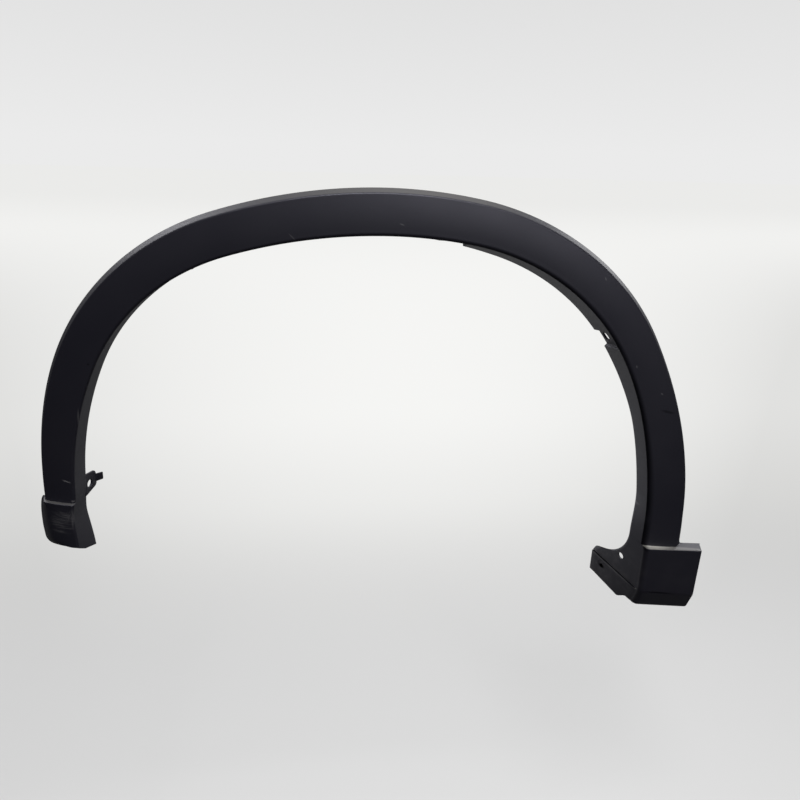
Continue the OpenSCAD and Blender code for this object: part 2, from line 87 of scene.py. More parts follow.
# Left foot
CAP_LEN, CAP_PROUD, CAP_FALL = 70.0, 5.0, 0.9
CAP_BEVEL, CAP_FLARE, FLARE_POWER = 15.0, 45.0, 0.35
CAP_CORNER_R, CAP_FLANGE_DROP, CAP_CREASE_R = 10.0, 23.5, 8.0
CAP_FACE_W, CAP_LOWER, CAP_OUTER_DROP, CAP_FACE_DROP = 38.0, 3.0, 20.0, 2.4
CAP_TURN_DROP, CAP_TURN_D = 12.5, 14.0
EAR_LEN, EAR_REACH, EAR_LEAN, EAR_RISE = 32.0, 24.0, 12.0, 3.5
EAR_HOLE_R, EAR_HOLE_Y = 5.5, 8.5
TONGUE_LEN, TONGUE_W, TONGUE_A, TONGUE_ROOT = 10.5, 10.5, 38.0, 4.0

# Right foot
BOX_LEN, BOX_PROUD, BOX_FALL, BOX_SKEW, SKEW_FADE = 83.5, 9.0, 1.5, 2.5, 40.0
BOX_W, BOX_TURN_W, BOX_TURN_D, BOX_BEVEL = 91.0, 9.5, 7.5, 8.0
FILLET_R, FILLET_FACE, FILLET_BEVEL = 8.0, 0.3, 0.6
SKIRT_H, SKIRT_BACK, SKIRT_CORNER_R = 34.5, 12.0, 2.5
SIDE_D, SIDE_FILLET_D, SIDE_FILLET_H, SIDE_FILLET_RISE = 88.5, 80.0, 75.0, 90.0
SIDE_ROUND, SIDE_RUN_OUT, SIDE_RAKE, STRIP_RAKE = 0.9, 2.1, 0.5, 0.17
SIDE_HOLE_R, SIDE_HOLE_RISE, SIDE_HOLE_Y = 5.5, 33.5, 28.5
STRIP_PROUD, GROOVE, GROOVE_RUN, STRIP_DROP, STRIP_RISE = 1.2, 1.2, 0.3, 14.0, 4.0
STRIP_STEP_Y = (13.0, 28.0)
SCREW_R, SCREW_Y, SCREW_DROP, SEAT_R, SEAT_T = 3.0, 66.0, 16.0, 9.0, 0.4
BOSS_R, BOSS_LEN, SIDE_LEAN = 5.0, 9.0, 18.5
EDGE_R = 1.0

# Points across the section, how the flange's rows crowd towards its front, and the rings' spacing
BEVEL_POINTS, CREASE_POINTS, FACE_POINTS, TURN_POINTS, FLANGE_POINTS = 7, 7, 10, 11, 14
TURN_COLUMN = BEVEL_POINTS + CREASE_POINTS + FACE_POINTS
ROW_POWER = 1.4
RING_STEP, RING_GAP = 2.6, 0.04

# Clips
CLIP_COUNT_LEFT, CLIP_COUNT_RIGHT, CLIP_PITCH = 3, 4, 150.0
SHANK_R, SHANK_LEN, NECK_LEN, BARBS, BARB_D = 4.0, 16.0, 3.0, 4, 1.0
COLLAR_R, COLLAR_T, STUD_R, CLIP_CLEAR, TOWER_WALL = 7.5, 1.6, 3.0, 0.1, 2.4
RIB_T, RIB_REACH, RIB_ROOT = 1.8, 14.0, 1.0
# Rounding of a bored mouth: its radius, and how far its middle point stands off both faces
MOUTH_R, MOUTH_MID = 0.4, 0.12
TURNED_SIDES, HOLE_SIDES = 40, 48
# Angles in degrees past which an edge stays sharp, on small pieces and round the holes
SMALL_SHARP_A, HOLE_SHARP_A = 38.0, 42.0

# Places along the arch line
CROWN_LEFT_LEN = CROWN_R * np.radians(CROWN_LEFT_A)
CROWN_RIGHT_LEN = CROWN_R * np.radians(CROWN_RIGHT_A)
LEG_LEFT_S = -(CROWN_LEFT_LEN + SHOULDER_LEFT_R * np.radians(SHOULDER_LEFT_A))
LEG_RIGHT_S = CROWN_RIGHT_LEN + SHOULDER_RIGHT_R * np.radians(SHOULDER_RIGHT_A)
CAP_S = LEG_LEFT_S - LEG_LEFT_LEN
CAP_END_S = CAP_S - CAP_LEN
STEP_S = CAP_S - CAP_LOWER
BOX_S = LEG_RIGHT_S + LEG_RIGHT_LEN
FOLD_S = BOX_S + BOX_LEN
FOOT_S = FOLD_S + SKIRT_H
EAR_S = CAP_S + EAR_RISE
FLANGE_Y = FLANGE_D - STAND_OFF
LEG_Y = FLANGE_LEG_D - STAND_OFF
CAP_BLEND, BOX_BLEND, SHOULDER_BLEND = 12.0, 90.0, 40.0

# How the painted shade in the hollow rises round the inner turn, and how deep it is at places along the arch
TURN_SHADE_POWER = 0.9
TURN_SHADE_DEPTHS = ((CAP_S, 0.0), (LEG_LEFT_S, 0.5), (0.0, 0.5), (LEG_RIGHT_S, 0.9), (BOX_S, 1.0),
                 (BOX_S + 8.0, 0.4))


def ramp(v, a, b):
    """Straight rise from 0 at a to 1 at b."""
    return np.clip((v - a) / (b - a), 0.0, 1.0)


def ease(t):
    """Smooth rise: three times t squared less twice t cubed."""
    t = np.clip(t, 0.0, 1.0)
    return t * t * (3.0 - 2.0 * t)


def mix(a, b, t):
    """A share t of the way from a to b."""
    return a + (b - a) * t


def round_off(q, r):
    """How far a quarter circle of radius r has fallen at a share q of its radius."""
    return r * (1.0 - np.sqrt(1.0 - np.clip(q, 0.0, 1.0) ** 2))


def along(s, stops):
    """Smooth run of a size through its named places: between two stops it eases from one to the next."""
    value = np.full(np.shape(s), float(stops[0][1]))
    for (s0, v0), (s1, v1) in zip(stops[:-1], stops[1:]):
        value = value + (v1 - v0) * ease(ramp(s, s0, s1))
    return value


def bow(x):
    """Plan curve of the wing: a parabola in x that is nought at the middle clip."""
    return BOW_D * ((x - BOW_X) ** 2 - BOW_X ** 2) / BOW_HALF ** 2


def arch_curve(s):
    """Arch line as a chain of tangent arcs from its apex: for each arc the run is the radius times the
    change of the heading's sine, and the drop is the radius times the change of its cosine."""
    s = np.asarray(s, float)
    left = s < 0
    u = np.abs(s)
    heading = np.zeros_like(u)
    run = np.zeros_like(u)
    drop = np.zeros_like(u)
    arcs = ((CROWN_R, np.where(left, CROWN_LEFT_LEN, CROWN_RIGHT_LEN)),
            (np.where(left, SHOULDER_LEFT_R, SHOULDER_RIGHT_R),
             np.where(left, -LEG_LEFT_S - CROWN_LEFT_LEN, LEG_RIGHT_S - CROWN_RIGHT_LEN)),
            (np.where(left, LEG_LEFT_R, LEG_RIGHT_R), np.where(left, LEG_LEFT_ARC, LEG_RIGHT_ARC)))
    for radius, length in arcs:
        d = np.clip(u, 0.0, length)
        turned = heading + d / radius
        run += radius * (np.sin(turned) - np.sin(heading))
        drop += radius * (np.cos(turned) - np.cos(heading))
        heading = turned
        u = u - d
    run += u * np.cos(heading)
    drop -= u * np.sin(heading)
    return np.where(left, -run, run), drop - HALF_BAND, heading


def place(s, n, y, a=0.0):
    """Point at n across the band, y into the arch and a along it, from place s of the arch line.
    The cross direction turns from square to the arch to the car's level line at both feet."""
    x, z, heading = arch_curve(s)
    left = np.asarray(s) < 0
    g = np.where(left, -1.0, 1.0)
    level = np.radians(np.where(left, 90.0 - HANG_TILT, 90.0 + HANG_TILT))
    share = np.where(left, ease(ramp(-s, -CAP_S - LEVEL_LEFT, -CAP_S)),
                     ease(ramp(s, BOX_S - LEVEL_RIGHT, BOX_S)))
    across = mix(heading, level, share)
    px = x + g * (n * np.sin(across) + a * np.cos(heading))
    pz = z + n * np.cos(across) - a * np.sin(heading)
    return np.stack([px, y + bow(px), pz], -1)


def in_cap(s):
    """Nought on the leg and one on the cap, rising over the cap's upper edge."""
    return ramp(STEP_S - s, 0.0, CAP_FALL)


def box_wide(s):
    """Nought on the leg and one on the box: the widening, in the first half of the box's top."""
    return ramp(s, BOX_S - BOX_FALL, BOX_S - BOX_FALL / 2)


def box_tall(s):
    """Nought on the leg and one on the box: the step forward, in the second half of the box's top."""
    return ramp(s, BOX_S - BOX_FALL / 2, BOX_S)


def box_edge(s):
    """Rounding of the box's upper edge: a quarter circle just below it."""
    return round_off(1.0 - ramp(s, BOX_S, BOX_S + EDGE_R), EDGE_R) * box_tall(s)


def cap_edge(s):
    """Rounding of the cap's upper edge."""
    return round_off(1.0 - ramp(STEP_S - s, CAP_FALL, CAP_FALL + EDGE_R), EDGE_R) * in_cap(s)


def foot_fillet(s):
    """Quarter-round fillet above the box, where the band's outer edge runs out into its top."""
    top = BOX_S - BOX_FALL
    return round_off(ramp(s, top - FILLET_R, top), FILLET_R) * (1.0 - box_wide(s))


def face_w(s):
    """Width of the face: eased through its places, then the box's width."""
    band = along(s, ((CAP_S, CAP_FACE_W), (LEG_LEFT_S, 42.5), (0.0, 46.0),
                     ((CROWN_RIGHT_LEN + LEG_RIGHT_S) / 2, 43.5), (LEG_RIGHT_S, 43.5), (BOX_S, 51.5)))
    return mix(band - FILLET_FACE * foot_fillet(s), BOX_W, box_wide(s)) - box_edge(s)


def corner_cut(s):
    """What the rounded lower corners of the cap and the skirt take off the width."""
    return (round_off(ramp(s, FOOT_S - SKIRT_CORNER_R, FOOT_S), SKIRT_CORNER_R)
            + round_off(ramp(-s, -CAP_END_S - CAP_CORNER_R, -CAP_END_S), CAP_CORNER_R))


def face_y(s):
    """Depth of the face: the stand-off, the cap's and the box's steps, and the skirt's slope."""
    fold = np.maximum(0.0, s - FOLD_S)
    blend = 3.0
    soft = np.where(np.abs(s - FOLD_S) < blend, (s - FOLD_S + blend) ** 2 / (4 * blend), fold)
    return (-STAND_OFF - CAP_PROUD * in_cap(s) + cap_edge(s) - BOX_PROUD * box_tall(s) + box_edge(s)
            + SKIRT_BACK * np.minimum(soft / SKIRT_H, 1.0))


def bevel_w(s):
    """Width of the outer bevel, which flares on the cap by a power of the way down it."""
    band = along(s, ((CAP_S + CAP_BLEND, 4.5), (LEG_LEFT_S, 5.5), (BOX_S - BOX_BLEND, 5.5), (BOX_S, 9.0)))
    cap = mix(band, CAP_BEVEL, ramp(STEP_S - s, 0.0, CAP_FLARE) ** FLARE_POWER)
    return mix(cap, BOX_BEVEL, box_wide(s)) + FILLET_BEVEL * foot_fillet(s)


def turn_w(s):
    """Width of the elliptical inner turn."""
    band = along(s, ((LEG_LEFT_S, 3.4), (0.0, 5.0), (LEG_RIGHT_S, 7.0), (BOX_S, 13.0)))
    return mix(band, BOX_TURN_W, box_tall(s))


def turn_d(s):
    """Depth of the inner turn."""
    return mix(TURN_D, BOX_TURN_D, box_tall(s))


def inset(s):
    """How far the flange's front line stands inside the arch line. Above the box it eases on by what the
    box's step takes off, so that leg and box share one leaning flange."""
    step = (BOX_PROUD - BOX_TURN_D + TURN_D) * np.tan(np.radians(SIDE_LEAN))
    even = step * ease(ramp(s, BOX_S - BOX_BLEND, BOX_S - BOX_FALL)) * (1.0 - box_tall(s))
    return even + along(s, ((CAP_S - CAP_LEN / 2, -4.5), (CAP_S + CAP_BLEND, 0.2), (LEG_LEFT_S, 0.2),
                            (0.0, 1.5), (LEG_RIGHT_S, 3.6), (BOX_S - BOX_BLEND, 9.5)))


def lean(s):
    """Lean of the flange towards the wheel, in radians."""
    return np.radians(along(s, (
        (CAP_END_S, 8.0), (CAP_S - CAP_LEN / 3, 3.0), (CAP_S + CAP_BLEND, 2.5), (LEG_LEFT_S, 2.5), (0.0, 2.0),
        (CROWN_RIGHT_LEN + SHOULDER_BLEND, 13.5), (LEG_RIGHT_S - SHOULDER_BLEND, 13.5),
        (LEG_RIGHT_S + SHOULDER_BLEND, 11.0), (BOX_S - BOX_BLEND, 11.0), (BOX_S - CAP_BLEND, 18.5))))


def rear_y(s):
    """Depth of the flange's free edge: eased on the arch, a quarter ellipse and a steep line down the
    side flange of the foot, then a slight rake."""
    plain = along(s, ((LEG_RIGHT_S, FLANGE_Y), (LEG_RIGHT_S + DEPTH_BLEND, LEG_Y)))
    d = s - FOLD_S
    q = ramp(d, -SIDE_FILLET_RISE, SIDE_FILLET_H - SIDE_FILLET_RISE)
    fillet = LEG_Y + round_off(np.minimum(q, SIDE_ROUND), SIDE_FILLET_D)
    past = d + SIDE_FILLET_RISE - SIDE_ROUND * SIDE_FILLET_H
    line = fillet + SIDE_RUN_OUT * past
    limit = SIDE_D - SIDE_RAKE * np.maximum(0.0, -d)
    blend = 4.0
    soft = np.minimum(line, limit) - np.maximum(0.0, blend - np.abs(line - limit)) ** 2 / (4 * blend)
    side = np.where(q < SIDE_ROUND, fillet, soft) + STRIP_RAKE * np.maximum(0.0, d)
    return np.where(s > FOLD_S - SIDE_FILLET_RISE, side, plain)


def in_pad(s, grow):
    """One in the recessed pads of the flange, with eased ends."""
    pads = [ease(ramp(s, p - grow - PAD_RUN, p - grow))
            * (1.0 - ease(ramp(s, p + PAD_LEN + grow, p + PAD_LEN + grow + PAD_RUN))) for p in PADS]
    return sum(pads)


def strip_step(s):
    """Groove below the side flange, then the foot strip standing proud."""
    groove = GROOVE * ramp(s, FOLD_S, FOLD_S + GROOVE_RUN)
    return groove - (GROOVE + STRIP_PROUD) * ramp(s, FOLD_S + GROOVE, FOLD_S + GROOVE + GROOVE_RUN)


def end_reach(s, n, y):
    """How far the lower ends reach on along the arch line. The cap's end falls as a sine of the depth on
    its bevel and in straight slopes across its face, round its turn and down its flange. The right foot
    has a step between the skirt and the foot strip."""
    front = face_y(CAP_END_S)
    outer = CAP_OUTER_DROP * np.sin(np.pi / 2 * ramp(y, front, FLANGE_Y))
    inner = (CAP_FACE_DROP + (CAP_TURN_DROP - CAP_FACE_DROP) * ramp(y, front, front + CAP_TURN_D)
             + (CAP_FLANGE_DROP - CAP_TURN_DROP) * ramp(y, front + CAP_TURN_D, FLANGE_Y))
    cap = mix(outer, inner, ramp(-n, -CAP_FACE_W, 0.0)) * ramp(CAP_S - s, 0.0, CAP_LEN) ** 2
    strip = STRIP_DROP * ramp(y, *STRIP_STEP_Y) - STRIP_RISE * ramp(y, STRIP_STEP_Y[1], SIDE_D)
    return np.where(s < 0, cap, strip * ramp(s, FOLD_S + 2 * GROOVE, FOOT_S))


def skew(s, n):
    """Shear of the box's top: in proportion to n, fading out above and below it."""
    share = np.minimum(ramp(s, BOX_S - SKEW_FADE, BOX_S - BOX_FALL), 1.0 - ramp(s, BOX_S, FOLD_S))
    return -np.tan(np.radians(BOX_SKEW)) * n * share


def top_shift(s, y):
    """Slope of the box's and the cap's upper faces: on them a point slides along the arch line in
    proportion to its depth, so that each face is one plane that falls to its front."""
    near = 1e-6
    on_box = (s >= BOX_S - BOX_FALL - near) & (s <= BOX_S + near)
    on_cap = (STEP_S - s >= -near) & (STEP_S - s <= CAP_FALL + near)
    reach = ramp(-y, -STAND_OFF, 0.0)
    box = BOX_S - BOX_FALL + BOX_FALL * np.clip(-y, 0, None) / (STAND_OFF + BOX_PROUD) - s
    cap = s - STEP_S + CAP_FALL * np.clip(-y, 0, None) / (STAND_OFF + CAP_PROUD)
    return np.where(on_box, box * reach, np.where(on_cap, cap * reach, 0.0))


def skin(s, hid):
    """Skin of the moulding on a grid of stations along the arch by points across the section.

    From the lip the section runs up the straight bevel, round the crease as a quadratic curve, across
    the face as a parabola, round the inner turn as a quarter ellipse, and down the leaning flange. With
    hid = 1 it is the hidden skin: the same lines a wall further in, and a wall later along the arch."""
    s = s[:, None]
    q = s - np.where(s < 0, -1.0, 1.0) * WALL * hid
    t = hid * WALL
    fy, b = face_y(q), bevel_w(q)
    w = face_w(q) - corner_cut(s)
    tall = -fy
    slope = np.hypot(b, tall) / tall
    tw, td = turn_w(q), turn_d(q)
    hw = tw - t
    hd = np.maximum(td - t, HIDDEN_TURN_D) if hid else td
    n0 = tw - inset(q)
    corner = w + b * t / tall - slope * t
    crease = HIDDEN_CREASE_R if hid else CREASE_R
    crease = crease + (CAP_CREASE_R - t - crease) * ramp(STEP_S - q, 0.0, CAP_BLEND)
    ln = lean(q)
    side_t = t / np.cos(ln)
    out = in_pad(q, t) * PAD_RECESS + strip_step(q)
    start, deep = fy + td, rear_y(q)

    u = np.linspace(0.0, 1.0, BEVEL_POINTS)[None, :]
    bevel_n = mix(w + b - slope * t, corner + b / tall * crease, u)
    bevel_y = mix(0.0, fy + t + crease, u)
    u = np.linspace(0.0, 1.0, CREASE_POINTS + 1)[None, 1:]
    curve_n = ((1 - u) ** 2 * (corner + b / tall * crease) + 2 * u * (1 - u) * corner
               + u ** 2 * (corner - crease))
    curve_y = (1 - u) ** 2 * (fy + t + crease) + 2 * u * (1 - u) * (fy + t) + u ** 2 * (fy + t)
    u = np.linspace(1.0, 0.0, FACE_POINTS + 2)[None, 1:-1]
    flat_n = mix(n0, corner - crease, u)
    flat_y = fy + t - FACE_CROWN * 4 * u * (1 - u) * (1 - box_tall(q))
    k = np.linspace(0.0, np.pi / 2, TURN_POINTS)[None, :]
    turn_n = n0 - hw * np.sin(k)
    turn_y = fy + td - hd * np.cos(k)
    u = np.linspace(0.0, 1.0, FLANGE_POINTS + 1)[None, 1:] ** ROW_POWER
    wall_y = mix(start, deep - (LIP_R if hid == 0 else 0.0), u)
    wall_n = -inset(q) - np.tan(ln) * (wall_y - start) + side_t + out * ramp(u, 0.0, PAD_SHARE)
    edge = np.array([[0.3, 0.75, 1.0]])
    lip = 0.0 if hid else LIP_R
    thinning = 0.04
    edge_n = wall_n[:, -1:] + lip * edge ** 2 - hid * thinning * edge
    edge_y = wall_y[:, -1:] + lip * np.sqrt(1 - (1 - edge) ** 2)
    rows = len(s)
    n = np.concatenate([np.broadcast_to(p, (rows, p.shape[1])) for p in
                        (bevel_n, curve_n, flat_n, turn_n, wall_n, edge_n)], 1)
    y = np.concatenate([np.broadcast_to(p, (rows, p.shape[1])) for p in
                        (bevel_y, curve_y, flat_y, turn_y, wall_y, edge_y)], 1)
    s_full = np.broadcast_to(s, n.shape)
    shift = top_shift(s_full, y) if hid == 0 else 0.0
    return place(s_full, n, y, end_reach(s_full, n, y) + skew(s_full, n) + shift), n, y


def stations():
    """Places of the rings: even steps, with extra rings wherever the section steps or turns quickly."""
    keys = [np.arange(CAP_END_S, FOOT_S, RING_STEP), [FOOT_S, 0.0]]
    quarter = 1.0 - np.cos(np.linspace(0.0, np.pi / 2, 7))
    keys.append(CAP_END_S + CAP_CORNER_R * quarter)
    keys.append(FOOT_S - SKIRT_CORNER_R * quarter)
    for t in (0.0, WALL):
        keys.append(STEP_S - t - np.array([0.0, 0.3, 0.6, 1.0]) * CAP_FALL)
        keys.append(STEP_S - t - CAP_FALL - EDGE_R * quarter)
        keys.append(BOX_S + t - BOX_FALL * np.array([1.0, 0.9, 0.75, 0.6, 0.5, 0.4, 0.25, 0.1, 0.0]))
        keys.append(BOX_S + t + EDGE_R * quarter)
        keys.append(FOLD_S + t + GROOVE_RUN * np.array([0.0, 0.5, 1.0]))
        keys.append(FOLD_S + t + GROOVE + GROOVE_RUN * np.array([0.0, 0.5, 1.0]))
        keys.append(FOLD_S + t + (GROOVE + GROOVE_RUN) * np.array([0.5, 1.2]))
    keys.append(BOX_S - BOX_FALL - FILLET_R * quarter)
    keys.append(STEP_S - CAP_FLARE * np.linspace(0.05, 0.5, 9) ** 2)
    for p in PADS:
        for t in (0.0, WALL):
            keys.append(p - t - PAD_RUN * np.linspace(0.0, 1.0, 6))
            keys.append(p + PAD_LEN + t + PAD_RUN * np.linspace(0.0, 1.0, 6))
    s = np.unique(np.round(np.concatenate([np.asarray(k, float) for k in keys]), 3))
    s = s[(s >= CAP_END_S - 1e-3) & (s <= FOOT_S + 1e-3)]
    keep = np.concatenate([[True], np.diff(s) > RING_GAP])
    return s[keep]


def grid_mesh(name, points, quads, layers):
    """Mesh from points in millimetres and a list of quads, with named layers of a pair of values each."""
    mesh = bpy.data.meshes.new(name)
    mesh.from_pydata((points / 1000.0).tolist(), [], quads.tolist())
    loops = np.zeros(len(mesh.loops), dtype=np.int32)
    mesh.loops.foreach_get("vertex_index", loops)
    for key, values in layers.items():
        layer = mesh.uv_layers.new(name=key)
        layer.data.foreach_set("uv", values[loops].astype(np.float32).ravel())
    mesh.polygons.foreach_set("use_smooth", np.ones(len(mesh.polygons), dtype=bool))
    mesh.validate()
    mesh.update()
    return mesh


def add_piece(name, mesh):
    """Object at the origin for a finished mesh."""
    piece = bpy.data.objects.new(name, mesh)
    bpy.context.scene.collection.objects.link(piece)
    return piece


def volume(points, quads):
    """Signed volume of a closed mesh: the sum over its triangles of the triple product, over six."""
    p = points[quads]
    a = np.einsum("ij,ij->i", p[:, 0], np.cross(p[:, 1], p[:, 2])).sum()
    b = np.einsum("ij,ij->i", p[:, 0], np.cross(p[:, 2], p[:, 3])).sum()
    return (a + b) / 6.0


def tube_quads(rings, m, closed_along=False):
    """Quads of a grid of rings of m points each, closed round the ring."""
    i = np.arange(rings if closed_along else rings - 1)[:, None]
    j = np.arange(m)[None, :]
    k = (j + 1) % m
    nxt = (i + 1) % rings
    return np.stack([i * m + j, i * m + k, nxt * m + k, nxt * m + j], -1).reshape(-1, 4)


def outward(points, quads):
    """The quads, turned so that the closed mesh they make faces outwards."""
    return quads if volume(points, quads) > 0 else quads[:, ::-1]


def shell_mesh():
    """Whole moulding as one closed skin: visible and hidden grids joined along the lip, along the
    flange's free edge and at both ends. The layer of the hollow rises as a power of the sine round the
    inner turn, where it carries painted shade, and ends where the flange starts."""
    s = stations()
    seen, seen_n, seen_y = skin(s, 0)
    back = skin(s, 1)[0]
    half = seen.shape[1]
    ring = np.concatenate([seen, back[:, ::-1]], 1)
    m = ring.shape[1]
    quads = tube_quads(len(s), m)
    j = np.arange(half - 1)
    first = np.stack([j, m - 1 - j, m - 2 - j, j + 1], -1)
    last = (len(s) - 1) * m + first[:, ::-1]
    quads = np.concatenate([quads, first, last])
    low, high = np.array([list(corner) for corner in cad_box]) * 1000.0
    points = np.clip(ring.reshape(-1, 3), low, high)
    steps = np.hypot(np.diff(seen_n), np.diff(seen_y))
    length = np.concatenate([np.zeros((len(s), 1)), np.cumsum(steps, 1)], 1)
    across = np.concatenate([length, length[:, ::-1]], 1)
    uv = np.stack([np.broadcast_to(s[:, None], across.shape), across], -1).reshape(-1, 2)
    # The hollow layer is painted shade: the material darkens colour and gloss by it round the inner turn.
    hollow = np.zeros(m)
    turned = np.linspace(0.0, np.pi / 2, TURN_POINTS)
    hollow[TURN_COLUMN:TURN_COLUMN + TURN_POINTS] = np.sin(turned) ** TURN_SHADE_POWER
    depth = along(s, TURN_SHADE_DEPTHS)
    shade = np.outer(depth, hollow).reshape(-1)
    shade = np.column_stack([shade, np.zeros_like(shade)])
    return points, outward(points, quads), {"skin": uv / 1000.0, "hollow": shade}


def arch_axes(s):
    """Axes at a place of the arch line: along the arch, into it, and away from the wheel."""
    heading = float(arch_curve(s)[2]) * (-1.0 if s < 0 else 1.0)
    return np.array([[np.cos(heading), 0.0, np.sin(heading)], [0.0, 1.0, 0.0],
                     [-np.sin(heading), 0.0, np.cos(heading)]])


def flange_frame(s, y, turn):
    """Origin and axes at a point of the flange: the arch's axes, tipped by the flange's lean."""
    n = -inset(s) - np.tan(lean(s)) * (y - face_y(s) - turn_d(s))
    tip = np.array([[1.0, 0.0, 0.0], [0.0, np.cos(turn), np.sin(turn)], [0.0, -np.sin(turn), np.cos(turn)]])
    return np.asarray(place(s, n, y), float), arch_axes(s) @ tip


def set_in(frame_at, points):
    """Points of a local frame, carried to their place: the origin plus the axes times the point."""
    origin, axes = frame_at
    return origin + points @ axes.T


def revolve(outline, segments, closed=False):
    """Surface of revolution about the local Z axis: each (radius, height) of the outline makes a ring."""
    a = np.linspace(0.0, 2 * np.pi, segments, endpoint=False)[None, :]
    r, h = outline[:, :1], outline[:, 1:2]
    points = np.stack([r * np.cos(a), r * np.sin(a), np.broadcast_to(h, (len(outline), segments))], -1)
    quads = tube_quads(len(outline), segments, closed)
    return points.reshape(-1, 3), quads


def prism(outline, low, high):
    """Straight prism over a closed outline of (x, y) points, between two heights, as two rings."""
    ring = np.tile(outline, (2, 1))
    z = np.repeat([low, high], len(outline))
    return np.column_stack([ring, z]), tube_quads(2, len(outline))


def capped(points, quads, m, rings):
    """Faces of a closed tube: its quads and one flat face at each end, turned outwards."""
    faces = quads.tolist()
    first = list(range(m))
    last = [(rings - 1) * m + j for j in range(m)]
    centre = points.mean(0)
    area = np.cross(points[quads[:, 2]] - points[quads[:, 0]], points[quads[:, 3]] - points[quads[:, 1]])
    size = np.einsum("ij,ij->i", area, points[quads].mean(1) - centre).sum()
    if size > 0:
        return faces + [first[::-1], last]
    return [f[::-1] for f in faces] + [first, last[::-1]]


def soft_mesh(name, parts):
    """One mesh from several closed parts, each given as its points in millimetres and its faces."""
    points, faces, start = [], [], 0
    for part_points, part_faces in parts:
        points.append(part_points)
        faces += [[start + i for i in f] for f in part_faces]
        start += len(part_points)
    mesh = bpy.data.meshes.new(name)
    mesh.from_pydata((np.concatenate(points) / 1000.0).tolist(), [], faces)
    mesh.polygons.foreach_set("use_smooth", np.ones(len(mesh.polygons), dtype=bool))
    mesh.update()
    mesh.set_sharp_from_angle(angle=np.radians(SMALL_SHARP_A))
    return mesh


def hole_cutters():
    """Tools that pierce the flange: two stadium slots, the side hole, and the screw hole with its seat."""
    parts = []
    reach = 8.0
    a = np.linspace(-np.pi / 2, np.pi / 2, 17)
    r, half = SLOT_W / 2, (SLOT_LEN - SLOT_W) / 2
    right = np.column_stack([half + r * np.cos(a), r * np.sin(a)])
    stadium = np.concatenate([right, -right])
    for p in PADS:
        at = flange_frame(p + PAD_LEN / 2, SLOT_Y, lean(p + PAD_LEN / 2))
        points, quads = prism(stadium, -reach / 2, 1.5 * reach)
        points = set_in(at, points)
        parts.append((points, capped(points, quads, len(stadium), 2)))
    seat = SEAT_T - STRIP_PROUD
    rounds = (((SIDE_HOLE_R, -reach), (SIDE_HOLE_R, reach)),
              ((SEAT_R, -reach - STRIP_PROUD), (SEAT_R, seat), (SCREW_R, seat), (SCREW_R, reach)))
    places = ((FOLD_S - SIDE_HOLE_RISE, SIDE_HOLE_Y), (FOLD_S + SCREW_DROP, SCREW_Y))
    for outline, (s, y) in zip(rounds, places):
        points, quads = revolve(np.array(outline), HOLE_SIDES)
        points = set_in(flange_frame(s, y, np.radians(SIDE_LEAN)), points)
        parts.append((points, capped(points, quads, HOLE_SIDES, len(outline))))
    return soft_mesh("hole_cutters", parts)


def pierce(piece, cutter):
    """Cuts the cutter out of the piece and keeps the result as the piece's own mesh."""
    cut = piece.modifiers.new("holes", "BOOLEAN")
    cut.operation = "DIFFERENCE"
    cut.solver = "EXACT"
    cut.object = cutter
    graph = bpy.context.evaluated_depsgraph_get()
    mesh = bpy.data.meshes.new_from_object(piece.evaluated_get(graph))
    piece.modifiers.clear()
    piece.data = mesh
    bpy.data.objects.remove(cutter)
    mesh.set_sharp_from_angle(angle=np.radians(HOLE_SHARP_A))


def moulding():
    """The trim's skin with its holes and slots."""
    points, quads, layers = shell_mesh()
    piece = add_piece("moulded_trim", grid_mesh("moulded_trim", points, quads, layers))
    pierce(piece, add_piece("hole_cutters", hole_cutters()))
    return piece


